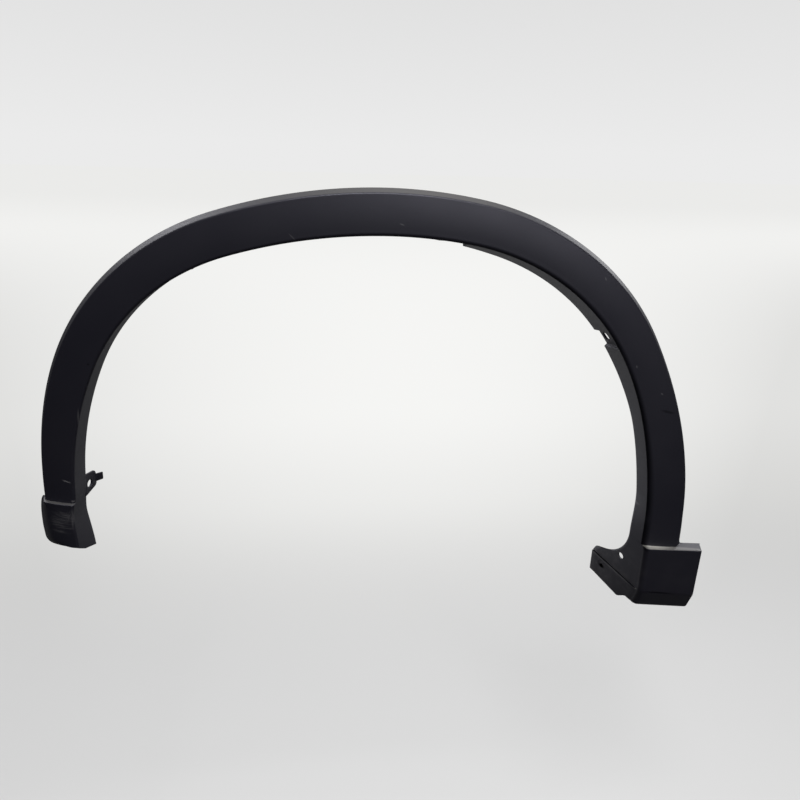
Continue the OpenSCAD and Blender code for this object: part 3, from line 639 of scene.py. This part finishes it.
def ear_plate():
    """Fixing ear: round a hole, every radius of the plate runs through a closed rounded section, from the
    hole's wall to the outline. The outline's distance is the nearest crossing with its straight edges,
    smoothed round the corners."""
    half = EAR_LEN / 2
    r = EAR_REACH
    corners = np.array([[-half, -3.0], [half, -3.0], [half, 0.0], [0.75 * half, r - 3.0],
                        [0.6 * half, r - 1.0], [0.45 * half, r], [-0.6 * half, r],
                        [-0.75 * half, r - 3.0], [-half, 0.0]])
    centre = np.array([-0.1 * half, EAR_HOLE_Y])
    a = np.linspace(0.0, 2 * np.pi, 144, endpoint=False)
    d = np.column_stack([np.cos(a), np.sin(a)])[:, None, :]
    p = (corners - centre)[None, :, :]
    e = np.roll(p, -1, axis=1) - p
    cross = d[..., 0] * e[..., 1] - d[..., 1] * e[..., 0]
    cross = np.where(np.abs(cross) < 1e-9, 1e-9, cross)
    t = (p[..., 0] * e[..., 1] - p[..., 1] * e[..., 0]) / cross
    u = (p[..., 0] * d[..., 1] - p[..., 1] * d[..., 0]) / cross
    reach = np.where((t > 0) & (u >= 0) & (u <= 1), t, np.inf).min(1)
    for _ in range(2):
        reach = (np.roll(reach, 1) + 2 * reach + np.roll(reach, -1)) / 4
    b = 0.45
    inner = [(0.0, b), (0.0, WALL - b), (0.3 * b, WALL - 0.3 * b), (b, WALL)]
    outer = [(-b, WALL), (-0.3 * b, WALL - 0.3 * b), (0.0, WALL - b),
             (0.0, b), (-0.3 * b, 0.3 * b), (-b, 0.0)]
    rows = [(EAR_HOLE_R + q + 0 * reach, z) for q, z in inner]
    rows += [(mix(EAR_HOLE_R + b, reach - b, f), WALL) for f in (0.33, 0.66)]
    rows += [(reach + q, z) for q, z in outer]
    rows += [(mix(EAR_HOLE_R + b, reach - b, f), 0.0) for f in (0.66, 0.33)]
    rows += [(EAR_HOLE_R + b + 0 * reach, 0.0), (EAR_HOLE_R + 0.3 * b + 0 * reach, 0.3 * b)]
    ring = np.stack([np.column_stack([centre[0] + q * np.cos(a), centre[1] + q * np.sin(a), 0 * a + z])
                     for q, z in rows], 1)
    m = ring.shape[1]
    points = ring.reshape(-1, 3)
    return points, outward(points, tube_quads(len(a), m, True))


def ear_tongue():
    """Tongue on the ear's end: a rounded rectangle carried along a path that leaves the ear's plane,
    bends round an arc towards the wheel and runs on straight."""
    bend, turned = 2.4, np.radians(TONGUE_A)
    t = np.linspace(0.0, 1.0, 9)
    arc_y = EAR_REACH - 1.0 + bend * np.sin(turned * t)
    arc_z = WALL / 2 - bend * (1 - np.cos(turned * t))
    run = np.array([0.25, 0.6, 0.9, 0.97, 1.0]) * (TONGUE_LEN - 1.0)
    path_y = np.concatenate([[EAR_REACH - 4.0], arc_y, arc_y[-1] + run * np.cos(turned)])
    path_z = np.concatenate([[WALL / 2], arc_z, arc_z[-1] - run * np.sin(turned)])
    angle = np.concatenate([[0.0], turned * t, np.full(len(run), turned)])
    shrink = np.concatenate([np.ones(len(path_y) - 2), [0.97], [0.88]])
    a = np.linspace(0.0, 2 * np.pi, 40, endpoint=False)
    power = 0.28
    across = np.sign(np.cos(a)) * np.abs(np.cos(a)) ** power * TONGUE_W / 2
    thick = np.sign(np.sin(a)) * np.abs(np.sin(a)) ** power * 0.4 * WALL
    root = np.linspace(TONGUE_ROOT, 0.0, len(path_y))[:, None]
    x = (-0.35 * EAR_LEN / 2 + TONGUE_W / 2 - root / 2
         + across[None, :] * shrink[:, None] * (1.0 + root / TONGUE_W))
    off = thick[None, :] * shrink[:, None] ** 3
    y = path_y[:, None] + off * np.sin(angle)[:, None]
    z = path_z[:, None] + off * np.cos(angle)[:, None]
    points = np.stack([x, y, z], -1).reshape(-1, 3)
    return points, capped(points, tube_quads(len(path_y), len(a)), len(a), len(path_y))


def fixing_ear():
    """The ear and its tongue, set in the flange of the left leg."""
    at = flange_frame(EAR_S, FLANGE_Y, np.radians(EAR_LEAN))
    plate, plate_quads = ear_plate()
    tongue, tongue_faces = ear_tongue()
    return soft_mesh("fixing_ear", [(set_in(at, plate), plate_quads.tolist()),
                                    (set_in(at, tongue), tongue_faces)])


def clip_places():
    """Places of the clips along the arch line."""
    return np.arange(-CLIP_COUNT_LEFT, CLIP_COUNT_RIGHT + 1) * CLIP_PITCH


def behind_band(s, points):
    """Points of a turned part whose axis runs into the arch from the middle of the band's back."""
    centre = place(s, face_w(s) / 2, 0.0)
    return centre + points @ np.array([[1.0, 0.0, 0.0], [0.0, 0.0, -1.0], [0.0, 1.0, 0.0]])


def turned_group(name, outline):
    """One turned part at every clip's place: the outline revolved and closed by a flat face at each end."""
    points, quads = revolve(np.array(outline), TURNED_SIDES)
    faces = capped(points, quads, TURNED_SIDES, len(outline))
    return soft_mesh(name, [(behind_band(s, points), faces) for s in clip_places()])


def clip_towers():
    """Bored towers behind the band: up the outside, round the mouth and down the bore."""
    outer, bore, top = STUD_R + CLIP_CLEAR + TOWER_WALL, STUD_R + CLIP_CLEAR, -COLLAR_T
    base, foot = -STAND_OFF + WALL / 2, -STAND_OFF + WALL
    return turned_group("clip_towers", [
        (outer, base), (outer, top - MOUTH_R), (outer - MOUTH_MID, top - MOUTH_MID), (outer - MOUTH_R, top),
        (bore + MOUTH_R, top), (bore + MOUTH_MID, top - MOUTH_MID), (bore, top - MOUTH_R), (bore, foot)])


def retaining_clips():
    """Push-in clips: stud, collar, plain neck and rings of barbs, then a blunt tip."""
    gap, edge = 0.4, 0.3
    foot = -STAND_OFF + WALL + gap
    outline = [(STUD_R - gap, foot), (STUD_R, foot + gap), (STUD_R, -COLLAR_T),
               (COLLAR_R - edge, -COLLAR_T), (COLLAR_R, -COLLAR_T + edge), (COLLAR_R, -edge),
               (COLLAR_R - edge, 0.0), (SHANK_R, 0.0), (SHANK_R, NECK_LEN)]
    pitch = (SHANK_LEN - NECK_LEN) / (BARBS + 1)
    for i in range(BARBS):
        y = NECK_LEN + i * pitch
        outline += [(SHANK_R - BARB_D, y + 0.4 * pitch), (SHANK_R - 0.08, y + 0.46 * pitch),
                    (SHANK_R, y + 0.52 * pitch), (SHANK_R - BARB_D, y + 1.2 * pitch)]
    outline += [(SHANK_R - 1.7 * BARB_D, SHANK_LEN - gap), (SHANK_R - 2.1 * BARB_D, SHANK_LEN)]
    return turned_group("retaining_clips_moulded", outline)


def screw_boss():
    """Hollow boss behind the foot strip: up the bore, round the mouth and down the outside."""
    root, end = WALL / 2, WALL - STRIP_PROUD + BOSS_LEN
    low, mid = end - MOUTH_R, end - MOUTH_MID
    outline = np.array([(SCREW_R, root), (SCREW_R, low), (SCREW_R + MOUTH_MID, mid), (SCREW_R + MOUTH_R, end),
                        (BOSS_R - MOUTH_R, end), (BOSS_R - MOUTH_MID, mid), (BOSS_R, low), (BOSS_R, root)])
    points, quads = revolve(outline, TURNED_SIDES, True)
    points = set_in(flange_frame(FOLD_S + SCREW_DROP, SCREW_Y, np.radians(SIDE_LEAN)), points)
    return soft_mesh("screw_boss", [(points, outward(points, quads).tolist())])


def stiffening_ribs():
    """Gussets between the back of the face and the flange: two straight sides and a hollow third one,
    drawn as a quarter circle."""
    a = np.linspace(0.0, np.pi / 2, 13)
    back = -STAND_OFF + WALL / 2
    reach, root = RIB_REACH, -RIB_ROOT
    hollow = np.column_stack([reach - (reach - root) * np.sin(a), reach - (reach - root) * np.cos(a)])
    outline = np.concatenate([[[back, root], [back, reach], [root, reach]], hollow[::-1][1:-1],
                              [[reach, root]]])
    parts = []
    for s in clip_places()[:-1] + CLIP_PITCH / 2:
        points, quads = prism(outline, -RIB_T / 2, RIB_T / 2)
        placed = place(s, 0.0, 0.0) + points[:, [2, 0, 1]] @ arch_axes(s).T
        parts.append((placed, capped(placed, quads, len(outline), 2)))
    return soft_mesh("stiffening_ribs", parts)


class Tree:
    """A node tree, with short ways to add nodes, to join them and to reckon with their values."""

    def __init__(self, tree):
        self.nodes, self.links = tree.nodes, tree.links

    def node(self, kind, **values):
        """New node. Each value goes to the input or the setting of that name."""
        made = self.nodes.new(kind)
        for key, value in values.items():
            if key in made.inputs:
                made.inputs[key].default_value = value
            else:
                setattr(made, key, value)
        return made

    def feed(self, value, socket):
        """Joins a node's output to a socket, or sets the socket to a plain value."""
        if isinstance(value, bpy.types.NodeSocket):
            self.links.new(value, socket)
        else:
            socket.default_value = value

    def remap(self, value, low, high, to_low, to_high, kind="SMOOTHSTEP"):
        """A value carried from one pair of limits to another, smoothly or in a straight line."""
        made = self.node("ShaderNodeMapRange", interpolation_type=kind)
        for key, number in (("From Min", low), ("From Max", high), ("To Min", to_low), ("To Max", to_high)):
            made.inputs[key].default_value = number
        self.links.new(value, made.inputs["Value"])
        return made.outputs["Result"]

    def maths(self, kind, first, second):
        """One sum of two values, each a number or a node's output."""
        made = self.node("ShaderNodeMath", operation=kind)
        self.feed(first, made.inputs[0])
        self.feed(second, made.inputs[1])
        return made.outputs["Value"]

    def blend(self, share, first, second, kind="MIX"):
        """Mix of two colours by a share, each a plain value or a node's output."""
        made = self.node("ShaderNodeMix", data_type="RGBA", blend_type=kind)
        for key, value in (("Factor", share), ("A", first), ("B", second)):
            self.feed(value, made.inputs[key])
        return made.outputs["Result"]

    def mix_shader(self, share, first, second):
        """Mix of two shaders by a share."""
        made = self.node("ShaderNodeMixShader")
        for socket, value in zip(made.inputs, (share, first, second)):
            self.links.new(value, socket)
        return made.outputs["Shader"]

    def split(self, vector):
        """The parts of a vector, by the names X, Y and Z."""
        made = self.node("ShaderNodeSeparateXYZ")
        self.links.new(vector, made.inputs["Vector"])
        return made.outputs

    def noise(self, vector, scale, detail, roughness=0.5):
        """Cloudy noise over a vector, from nought to one."""
        made = self.node("ShaderNodeTexNoise", Scale=scale, Detail=detail, Roughness=roughness)
        self.links.new(vector, made.inputs["Vector"])
        return made.outputs["Fac"]

    def layer(self, name):
        """First value of one of the skin's own layers."""
        return self.split(self.node("ShaderNodeUVMap", uv_map=name).outputs["UV"])["X"]


def shader(name):
    """New material with its plain shader and its node tree."""
    material = bpy.data.materials.new(name)
    material.use_nodes = True
    tree = Tree(material.node_tree)
    return material, tree.nodes["Principled BSDF"], tree


# Black polypropylene: base colours of the plain skin, of its warmer clouds, of the dust and painted top light
# on its top faces, and of its worn places and the painted highlight on the foot strip's lip
BLACK = (0.0075, 0.0073, 0.0120, 1.0)
BLACK_WARM = (0.0092, 0.0088, 0.0125, 1.0)
DUST_AND_LIGHT_COLOUR = (0.55, 0.535, 0.49, 1.0)
WORN_AND_HIGHLIGHT = (0.10, 0.098, 0.102, 1.0)
# Wear on the front: centre in millimetres, turn about Y in degrees, half length, half width, share
LIGHT_MARKS = (
    ((-407.5, -2.0, -341.7), 28.8, 7.0, 1.3, 1.0), ((-404.9, -2.0, -372.3), 20.0, 3.0, 2.0, 0.8),
    ((-377.3, -3.0, -250.0), -79.0, 15.0, 1.0, 0.45), ((-383.5, -3.0, -282.3), 0.0, 2.2, 1.6, 0.6),
    ((-408.0, -6.0, -396.0), -82.0, 20.0, 1.8, 0.3),
    ((-104.8, -10.0, -26.4), 45.0, 7.0, 1.0, 0.35), ((20.9, -10.0, -10.6), 20.0, 4.0, 1.2, 0.5),
    ((278.7, -5.0, -72.5), 60.0, 3.5, 1.2, 0.45), ((343.3, -3.0, -190.4), 70.0, 3.0, 1.2, 0.5),
    ((388.3, -1.0, -231.0), 30.0, 3.0, 1.3, 0.5), ((402.5, 28.5, -423.0), 80.0, 4.5, 3.0, 0.6))
# Dark marks in the same columns: a dark dash on the band, and painted shade in a dimple, along the box's fold
# and by the screw hole.
DARK_MARKS_AND_SHADE = (
    ((403.5, -1.0, -258.8), 15.5, 15.0, 3.0, 0.4), ((-353.3, -4.0, -180.0), 0.0, 2.2, 2.0, 0.4),
    ((452.0, -5.0, -574.5), 10.6, 36.0, 1.8, 0.7), ((392.7, 76.0, -583.0), 0.0, 5.5, 5.5, 1.0))
# Reach of a mark into the part, and the share of its size at which its soft edge begins
MARK_REACH, MARK_CORE, SCRATCH_CORE = 12.0, 0.3, 0.4
# Scratched places of the cap: centre, turn, half sizes, spacing and share
CAP_SCRATCHES = (((-422.0, -6.0, -402.0), 12.0, (20.0, 12.0, 24.0), 1.8, 0.42),
                 ((-418.0, -6.0, -391.0), 27.0, (17.0, 12.0, 13.0), 1.3, 0.38),
                 ((-410.0, -6.0, -391.0), -58.0, (12.0, 12.0, 7.0), 1.0, 0.4))
# Lines across the foot: place along the arch, half width and share. The strip's pale line is edge wear
# and a painted highlight on its lit lip; the groove's dark line is painted shade.
STRIP_WEAR_AND_HIGHLIGHT_LINE = (FOLD_S + 3.4, 1.6, 0.45)
GROOVE_SHADE_LINE = (FOLD_S + 0.9, 1.2, 0.7)
# Dust and painted top light on the top faces: axis, its two limits in metres, and the share at each
DUST_AND_LIGHT_LIMITS = (("X", -0.4, 0.4, 0.1, 0.62), ("X", 0.43, 0.47, 1.0, 0.31), ("Z", -0.5, -0.45, 1.6, 1.0),
               ("Y", 0.0, 0.006, 1.0, 0.0))
# The pale top colour thins out over this stretch above the box's front, down to this share: painted shade
# that dims the better-lit front of the box's top to match its back, which the leg shades
PALE_TOP_FRONT, PALE_TOP_FRONT_SHARE = (1.1, 0.1), 0.45
GRAIN_SIZE = 1.1
GRAIN_BUMP = 0.00012
SPECULAR = 0.5


def blot(tree, vector, centre, turn, size):
    """Distance from a mark's centre in units of its half sizes, in a frame turned about Y."""
    local = tree.node("ShaderNodeMapping", vector_type="TEXTURE", Location=[v / 1000.0 for v in centre],
                      Rotation=(0.0, np.radians(turn), 0.0), Scale=[v / 1000.0 for v in size])
    tree.links.new(vector, local.inputs["Vector"])
    length = tree.node("ShaderNodeVectorMath", operation="LENGTH")
    tree.links.new(local.outputs["Vector"], length.inputs[0])
    return length.outputs["Value"]


def marks(tree, vector, table):
    """Sum of soft-edged elliptical marks."""
    total = 0.0
    for centre, turn, length, width, share in table:
        far = blot(tree, vector, centre, turn, (length, MARK_REACH, width))
        total = tree.maths("ADD", tree.remap(far, MARK_CORE, 1.0, share, 0.0), total)
    return total


def streaks(tree, vector, centre, turn, size, pitch, share):
    """Fine parallel scratches: a noise drawn out along one direction, inside a soft-edged ellipse."""
    local = tree.node("ShaderNodeMapping", vector_type="TEXTURE", Rotation=(0.0, np.radians(turn), 0.0),
                      Scale=(0.012 * pitch, 0.05, 0.001 * pitch))
    tree.links.new(vector, local.inputs["Vector"])
    lines = tree.remap(tree.noise(local.outputs["Vector"], 1.0, 3.0, 0.6), 0.46, 0.68, 0.0, share)
    far = blot(tree, vector, centre, turn, size)
    return tree.maths("MULTIPLY", lines, tree.remap(far, SCRATCH_CORE, 1.0, 1.0, 0.0))


def line_across(tree, s, half, share):
    """Soft line across the skin at a place of the arch line, by the square of the distance from it."""
    off = tree.maths("SUBTRACT", tree.layer("skin"), s / 1000.0)
    return tree.remap(tree.maths("MULTIPLY", off, off), 0.0, (half / 1000.0) ** 2, share, 0.0)


def dust_and_top_light(tree, part):
    """Share of dust and painted top light on faces that look up, from side to side, front to back and above
    the box.
    """
    facing = tree.split(tree.node("ShaderNodeNewGeometry").outputs["Normal"])
    # Pale colour on faces that look up: dust, and painted light from above.
    dust = tree.remap(facing["Z"], 0.8, 1.0, 0.0, 1.0)
    for axis, low, high, at_low, at_high in DUST_AND_LIGHT_LIMITS:
        dust = tree.maths("MULTIPLY", dust, tree.remap(part[axis], low, high, at_low, at_high))
    # Less at the box's front: painted shade that evens its lit front with its back, shaded by the leg.
    far, near = [(BOX_S - d) / 1000.0 for d in PALE_TOP_FRONT]
    return tree.maths("MULTIPLY", dust, tree.remap(tree.layer("skin"), far, near, 1.0, PALE_TOP_FRONT_SHARE))


def foot_dust_and_highlight(tree, vector, part):
    """Dirt and painted highlight of the right foot: mottled dust on its side flange and foot strip, and a
    pale line along the strip's upper edge, partly wear and partly a painted highlight on its lit lip, found
    from the skin's own length along the arch."""
    low = tree.remap(part["Z"], -0.55, -0.49, 1.0, 0.0)
    side = tree.remap(part["X"], 0.385, 0.43, 1.0, 0.08)
    spots = tree.remap(tree.noise(vector, 55.0, 4.0, 0.65), 0.4, 0.64, 0.1, 0.36)
    dust = tree.maths("MULTIPLY", tree.maths("MULTIPLY", low, side), spots)
    # The strip's pale line: edge wear and a painted highlight on its lit lip.
    behind = tree.remap(part["Y"], 0.0, 0.03, 0.0, 1.0)
    return tree.maths("ADD", tree.maths("MULTIPLY", line_across(tree, *STRIP_WEAR_AND_HIGHLIGHT_LINE), behind), dust)


def wear_and_highlight_share(tree, vector, part):
    """Share of worn colour: light marks, the cap's scratches, the dirt of the right foot and the painted
    highlight on its strip.
    """
    worn = marks(tree, vector, LIGHT_MARKS)
    for centre, turn, size, pitch, share in CAP_SCRATCHES:
        worn = tree.maths("ADD", streaks(tree, vector, centre, turn, size, pitch, share), worn)
    return tree.maths("ADD", foot_dust_and_highlight(tree, vector, part), worn)


def unshaded_share(tree, vector, part, clouds):
    """What the dark marks and the painted shade in the groove and, unevenly, in the inner turn leave of the
    light.
    """
    unshaded = tree.maths("SUBTRACT", 1.0, marks(tree, vector, DARK_MARKS_AND_SHADE))
    # Painted shade in the groove below the side flange.
    behind = tree.remap(part["Y"], 0.0, 0.01, 0.0, 1.0)
    unshaded = tree.maths("SUBTRACT", unshaded, tree.maths("MULTIPLY", line_across(tree, *GROOVE_SHADE_LINE), behind))
    unshaded = tree.maths("MAXIMUM", unshaded, 0.0)
    # Painted shade in the inner turn, made uneven by the clouds.
    uneven = tree.remap(clouds, 0.35, 0.65, 0.65, 1.0)
    turn_shade = tree.remap(tree.maths("MULTIPLY", tree.layer("hollow"), uneven), 0.0, 0.9, 1.0, 0.22)
    return tree.maths("MULTIPLY", unshaded, turn_shade)


def black_plastic():
    """Black grained moulding: a fine grain in the bump, slow clouds in colour and gloss, dust and painted top
    light on its top faces, scratches on the cap, small marks along the band, a painted highlight on the foot
    strip, and painted shade in the groove, a few recesses and the inner turn."""
    material, base, tree = shader("grained_black_plastic")
    place_of = tree.node("ShaderNodeTexCoord").outputs["Object"]
    part = tree.split(place_of)
    clouds = tree.noise(place_of, 9.0, 3.0, 0.55)
    unshaded = unshaded_share(tree, place_of, part, clouds)
    colour = tree.blend(clouds, BLACK, BLACK_WARM)
    # Dust and painted top light on the faces that look up.
    colour = tree.blend(dust_and_top_light(tree, part), colour, DUST_AND_LIGHT_COLOUR)
    # Wear, and the painted highlight on the foot strip's lip.
    colour = tree.blend(wear_and_highlight_share(tree, place_of, part), colour, WORN_AND_HIGHLIGHT)
    # Painted shade: the dark marks, the groove and the inner turn darken both colour and gloss.
    tree.feed(tree.blend(1.0, colour, unshaded, "MULTIPLY"), base.inputs["Base Color"])
    tree.feed(tree.maths("MULTIPLY", unshaded, SPECULAR), base.inputs["Specular IOR Level"])
    tree.feed(tree.remap(clouds, 0.3, 0.7, 0.43, 0.49, "LINEAR"), base.inputs["Roughness"])
    bump = tree.node("ShaderNodeBump", Strength=0.35, Distance=GRAIN_BUMP)
    tree.feed(tree.noise(place_of, 1000.0 / GRAIN_SIZE, 3.0, 0.6), bump.inputs["Height"])
    tree.feed(bump.outputs["Normal"], base.inputs["Normal"])
    base.inputs["IOR"].default_value = 1.5
    base.inputs["Specular Tint"].default_value = (0.88, 0.87, 1.0, 1.0)
    return material


def natural_nylon():
    """Milky nylon of the clips: a pale warm colour with slight clouds, a satin gloss and a soft glow."""
    material, base, tree = shader("natural_nylon")
    place_of = tree.node("ShaderNodeTexCoord").outputs["Object"]
    clouds = tree.noise(place_of, 220.0, 2.0)
    tint = tree.blend(clouds, (0.60, 0.58, 0.50, 1.0), (0.68, 0.67, 0.60, 1.0))
    tree.feed(tint, base.inputs["Base Color"])
    base.inputs["Roughness"].default_value = 0.4
    base.inputs["Subsurface Weight"].default_value = 0.15
    base.inputs["Subsurface Radius"].default_value = (0.002, 0.002, 0.0015)
    return material


# Floor in metres: its height, its near and far ends, its colour, and its glow close by and further off
FLOOR_Z, FLOOR_FRONT, FLOOR_FAR = -1.20, -12.0, 30.0
FLOOR_COLOUR = (0.63, 0.63, 0.63, 1.0)
GLOW_COLOUR = (1.0, 1.0, 0.985, 1.0)
FLOOR_NEAR_GLOW, FLOOR_GLOW = 0.75, 0.915
# What the floor throws back at the part: in front of it, behind it, and from a spot behind the right leg,
# whose centre and half sizes are in millimetres
BOUNCE_FRONT, BOUNCE_BACK, BOUNCE_SPOT = 0.005, 0.11, 0.6
SPOT_AT, SPOT_SIZE = (330.0, 1500.0, -1200.0), (380.0, 750.0, 1000.0)
# Fall of the glow to both sides of a line that runs away from the eye: the eye's place, the line's lean,
# the fall, and the least that it leaves
EYE_X, EYE_Y, GLOW_LEAN = -0.06, -0.72, 0.15
EDGE_FALL, EDGE_LEAST = 0.36, 0.82
# The room: a bright ceiling above and behind the part, growing between two shares of the way to it, and a
# dim room elsewhere. The whole light sinks to a low share between two heights.
CEILING_FROM = (0.12, 0.62, 0.78)
CEILING_LIGHT, CEILING_RISE = 0.6, (0.1, 0.8)
ROOM_LIGHT, ROOM_LOW, ROOM_SINK = 0.075, 0.12, (-0.65, 0.05)
# The backdrop for the eye: its level at the horizon and above, and the height at which that is reached
SKY_LOW, SKY_HIGH, SKY_RISE = 0.83, 0.75, 0.2


def floor_glow(tree, part):
    """Strength of the floor's glow: it rises behind the part, eases to the sky's far off, and falls with
    the square of the angle to both sides."""
    near = tree.remap(part["Y"], 0.3, 2.2, FLOOR_NEAR_GLOW, FLOOR_GLOW)
    far = tree.remap(part["Y"], 4.0, 16.0, 1.0, SKY_LOW / FLOOR_GLOW)
    depth = tree.maths("ADD", part["Y"], -EYE_Y)
    aside = tree.maths("DIVIDE", tree.maths("ADD", part["X"], -EYE_X), depth)
    aside = tree.maths("SUBTRACT", aside, GLOW_LEAN)
    fall = tree.remap(part["Y"], 2.4, 10.0, EDGE_FALL, 0.0)
    fallen = tree.maths("MULTIPLY", tree.maths("MULTIPLY", aside, aside), fall)
    edge = tree.maths("MAXIMUM", tree.maths("SUBTRACT", 1.0, fallen), EDGE_LEAST)
    return tree.maths("MULTIPLY", tree.maths("MULTIPLY", near, far), edge)


def pale_floor():
    """Matt floor that takes the part's shadow close by and glows steadily for the eye further off."""
    material, base, tree = shader("pale_floor")
    base.inputs["Roughness"].default_value = 0.9
    base.inputs["Specular IOR Level"].default_value = 0.1
    seen = tree.node("ShaderNodeLightPath").outputs["Is Camera Ray"]
    place_of = tree.node("ShaderNodeTexCoord").outputs["Object"]
    part = tree.split(place_of)
    bounce = tree.remap(part["Y"], -0.2, 0.2, BOUNCE_FRONT, BOUNCE_BACK)
    spot = tree.remap(blot(tree, place_of, SPOT_AT, 0.0, SPOT_SIZE), 0.2, 1.0, BOUNCE_SPOT, 0.0)
    colour = tree.blend(seen, tree.maths("ADD", bounce, spot), FLOOR_COLOUR)
    tree.feed(colour, base.inputs["Base Color"])
    glow = tree.node("ShaderNodeEmission", Color=GLOW_COLOUR)
    tree.feed(floor_glow(tree, part), glow.inputs["Strength"])
    share = tree.maths("MULTIPLY", tree.remap(part["Y"], 0.4, 1.3, 0.0, 1.0), seen)
    ended = tree.mix_shader(share, base.outputs["BSDF"], glow.outputs["Emission"])
    tree.feed(ended, tree.nodes["Material Output"].inputs["Surface"])
    return material


def floor():
    """Pale floor from under the part to the horizon."""
    mesh = bpy.data.meshes.new("floor")
    r = FLOOR_FAR
    corners = [(-r, FLOOR_FRONT, FLOOR_Z), (r, FLOOR_FRONT, FLOOR_Z), (r, r, FLOOR_Z), (-r, r, FLOOR_Z)]
    mesh.from_pydata(corners, [], [(0, 1, 2, 3)])
    piece = add_piece("floor", mesh)
    mesh.materials.append(pale_floor())


def room():
    """World: for the eye a pale backdrop, for the part a soft ceiling light that rises smoothly with the
    direction's share along the way to the light."""
    world = bpy.data.worlds.new("pale_room")
    bpy.context.scene.world = world
    world.use_nodes = True
    tree = Tree(world.node_tree)
    light = tree.nodes["Background"]
    light.inputs["Color"].default_value = (1.0, 1.0, 1.0, 1.0)
    way = tree.node("ShaderNodeTexCoord").outputs["Generated"]
    height = tree.split(way)["Z"]
    toward = tree.node("ShaderNodeVectorMath", operation="DOT_PRODUCT")
    toward.inputs[1].default_value = CEILING_FROM
    tree.links.new(way, toward.inputs[0])
    ceiling = tree.remap(toward.outputs["Value"], *CEILING_RISE, ROOM_LIGHT, CEILING_LIGHT)
    under = tree.remap(height, *ROOM_SINK, ROOM_LOW, 1.0)
    tree.feed(tree.maths("MULTIPLY", ceiling, under), light.inputs["Strength"])
    backdrop = tree.node("ShaderNodeBackground")
    tree.feed(tree.remap(height, 0.0, SKY_RISE, SKY_LOW, SKY_HIGH, "LINEAR"), backdrop.inputs["Color"])
    seen = tree.node("ShaderNodeLightPath").outputs["Is Camera Ray"]
    ended = tree.mix_shader(seen, light.outputs["Background"], backdrop.outputs["Background"])
    tree.feed(ended, tree.nodes["World Output"].inputs["Surface"])


def point_at(piece, at, forward, up):
    """Sets an object's matrix from a position, a forward direction and an up hint, squared to each other."""
    forward = forward / np.linalg.norm(forward)
    right = np.cross(forward, up)
    right = right / np.linalg.norm(right)
    up = np.cross(right, forward)
    matrix = np.eye(4)
    matrix[:3, 0], matrix[:3, 1], matrix[:3, 2], matrix[:3, 3] = right, up, -forward, at
    piece.matrix_world = Matrix(matrix.tolist())


def softbox(name, at, aim, size, watts, height=None, spread=180.0):
    """Rectangular area light at one point, aimed at another."""
    lamp = bpy.data.lights.new(name, "AREA")
    lamp.shape = "RECTANGLE"
    lamp.size = size
    lamp.size_y = height or size
    lamp.energy = watts
    lamp.spread = np.radians(spread)
    piece = bpy.data.objects.new(name, lamp)
    piece.visible_camera = False
    bpy.context.scene.collection.objects.link(piece)
    point_at(piece, np.array(at), np.array(aim) - np.array(at), (0.0, 0.0, 1.0))


CAMERA_AT = np.array([-0.0605, -0.7200, 0.0727])
CAMERA_FORWARD = np.array([0.1099, 0.9151, -0.3903])
CAMERA_UP = np.array([0.0150, 0.3889, 0.9202])


def camera():
    """Camera at the photograph's place: a 27 mm lens, close in front of the crown and looking down."""
    lens = bpy.data.cameras.new("camera")
    lens.sensor_width = 36.0
    lens.lens = 27.0
    lens.clip_start = 0.01
    piece = bpy.data.objects.new("camera", lens)
    bpy.context.scene.collection.objects.link(piece)
    point_at(piece, CAMERA_AT, CAMERA_FORWARD, CAMERA_UP)
    bpy.context.scene.camera = piece


bpy.context.scene.view_settings.view_transform = "Standard"
camera()
room()
floor()
softbox("ceiling_panel", (0.2, -0.9, 1.7), (0.2, 0.0, -0.4), 1.2, 44.0)
softbox("back_panel", (2.8, 3.0, 1.2), (0.4, 0.0, -0.3), 2.4, 46.0, 1.6)
softbox("back_left_panel", (-2.4, 2.2, 2.2), (-0.3, 0.0, -0.1), 1.6, 42.0)
softbox("front_window", (1.0, -2.6, 0.5), (0.25, 0.0, -0.1), 1.2, 27.0)
softbox("low_fill", (-0.5, 0.9, -0.9), (0.45, 0.0, -0.2), 0.7, 0.6, spread=70.0)

plastic = black_plastic()
nylon = natural_nylon()
trim = moulding()
black_pieces = [trim, add_piece("fixing_ear", fixing_ear()), add_piece("clip_towers", clip_towers()),
                add_piece("stiffening_ribs", stiffening_ribs()), add_piece("screw_boss", screw_boss())]
clips = add_piece("retaining_clips_moulded", retaining_clips())
for piece in black_pieces:
    piece.data.materials.clear()
    piece.data.materials.append(plastic)
    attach(piece, "root")
    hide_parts("arch_trim")
clips.data.materials.append(nylon)
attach(clips, "root")
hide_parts("retaining_clips")
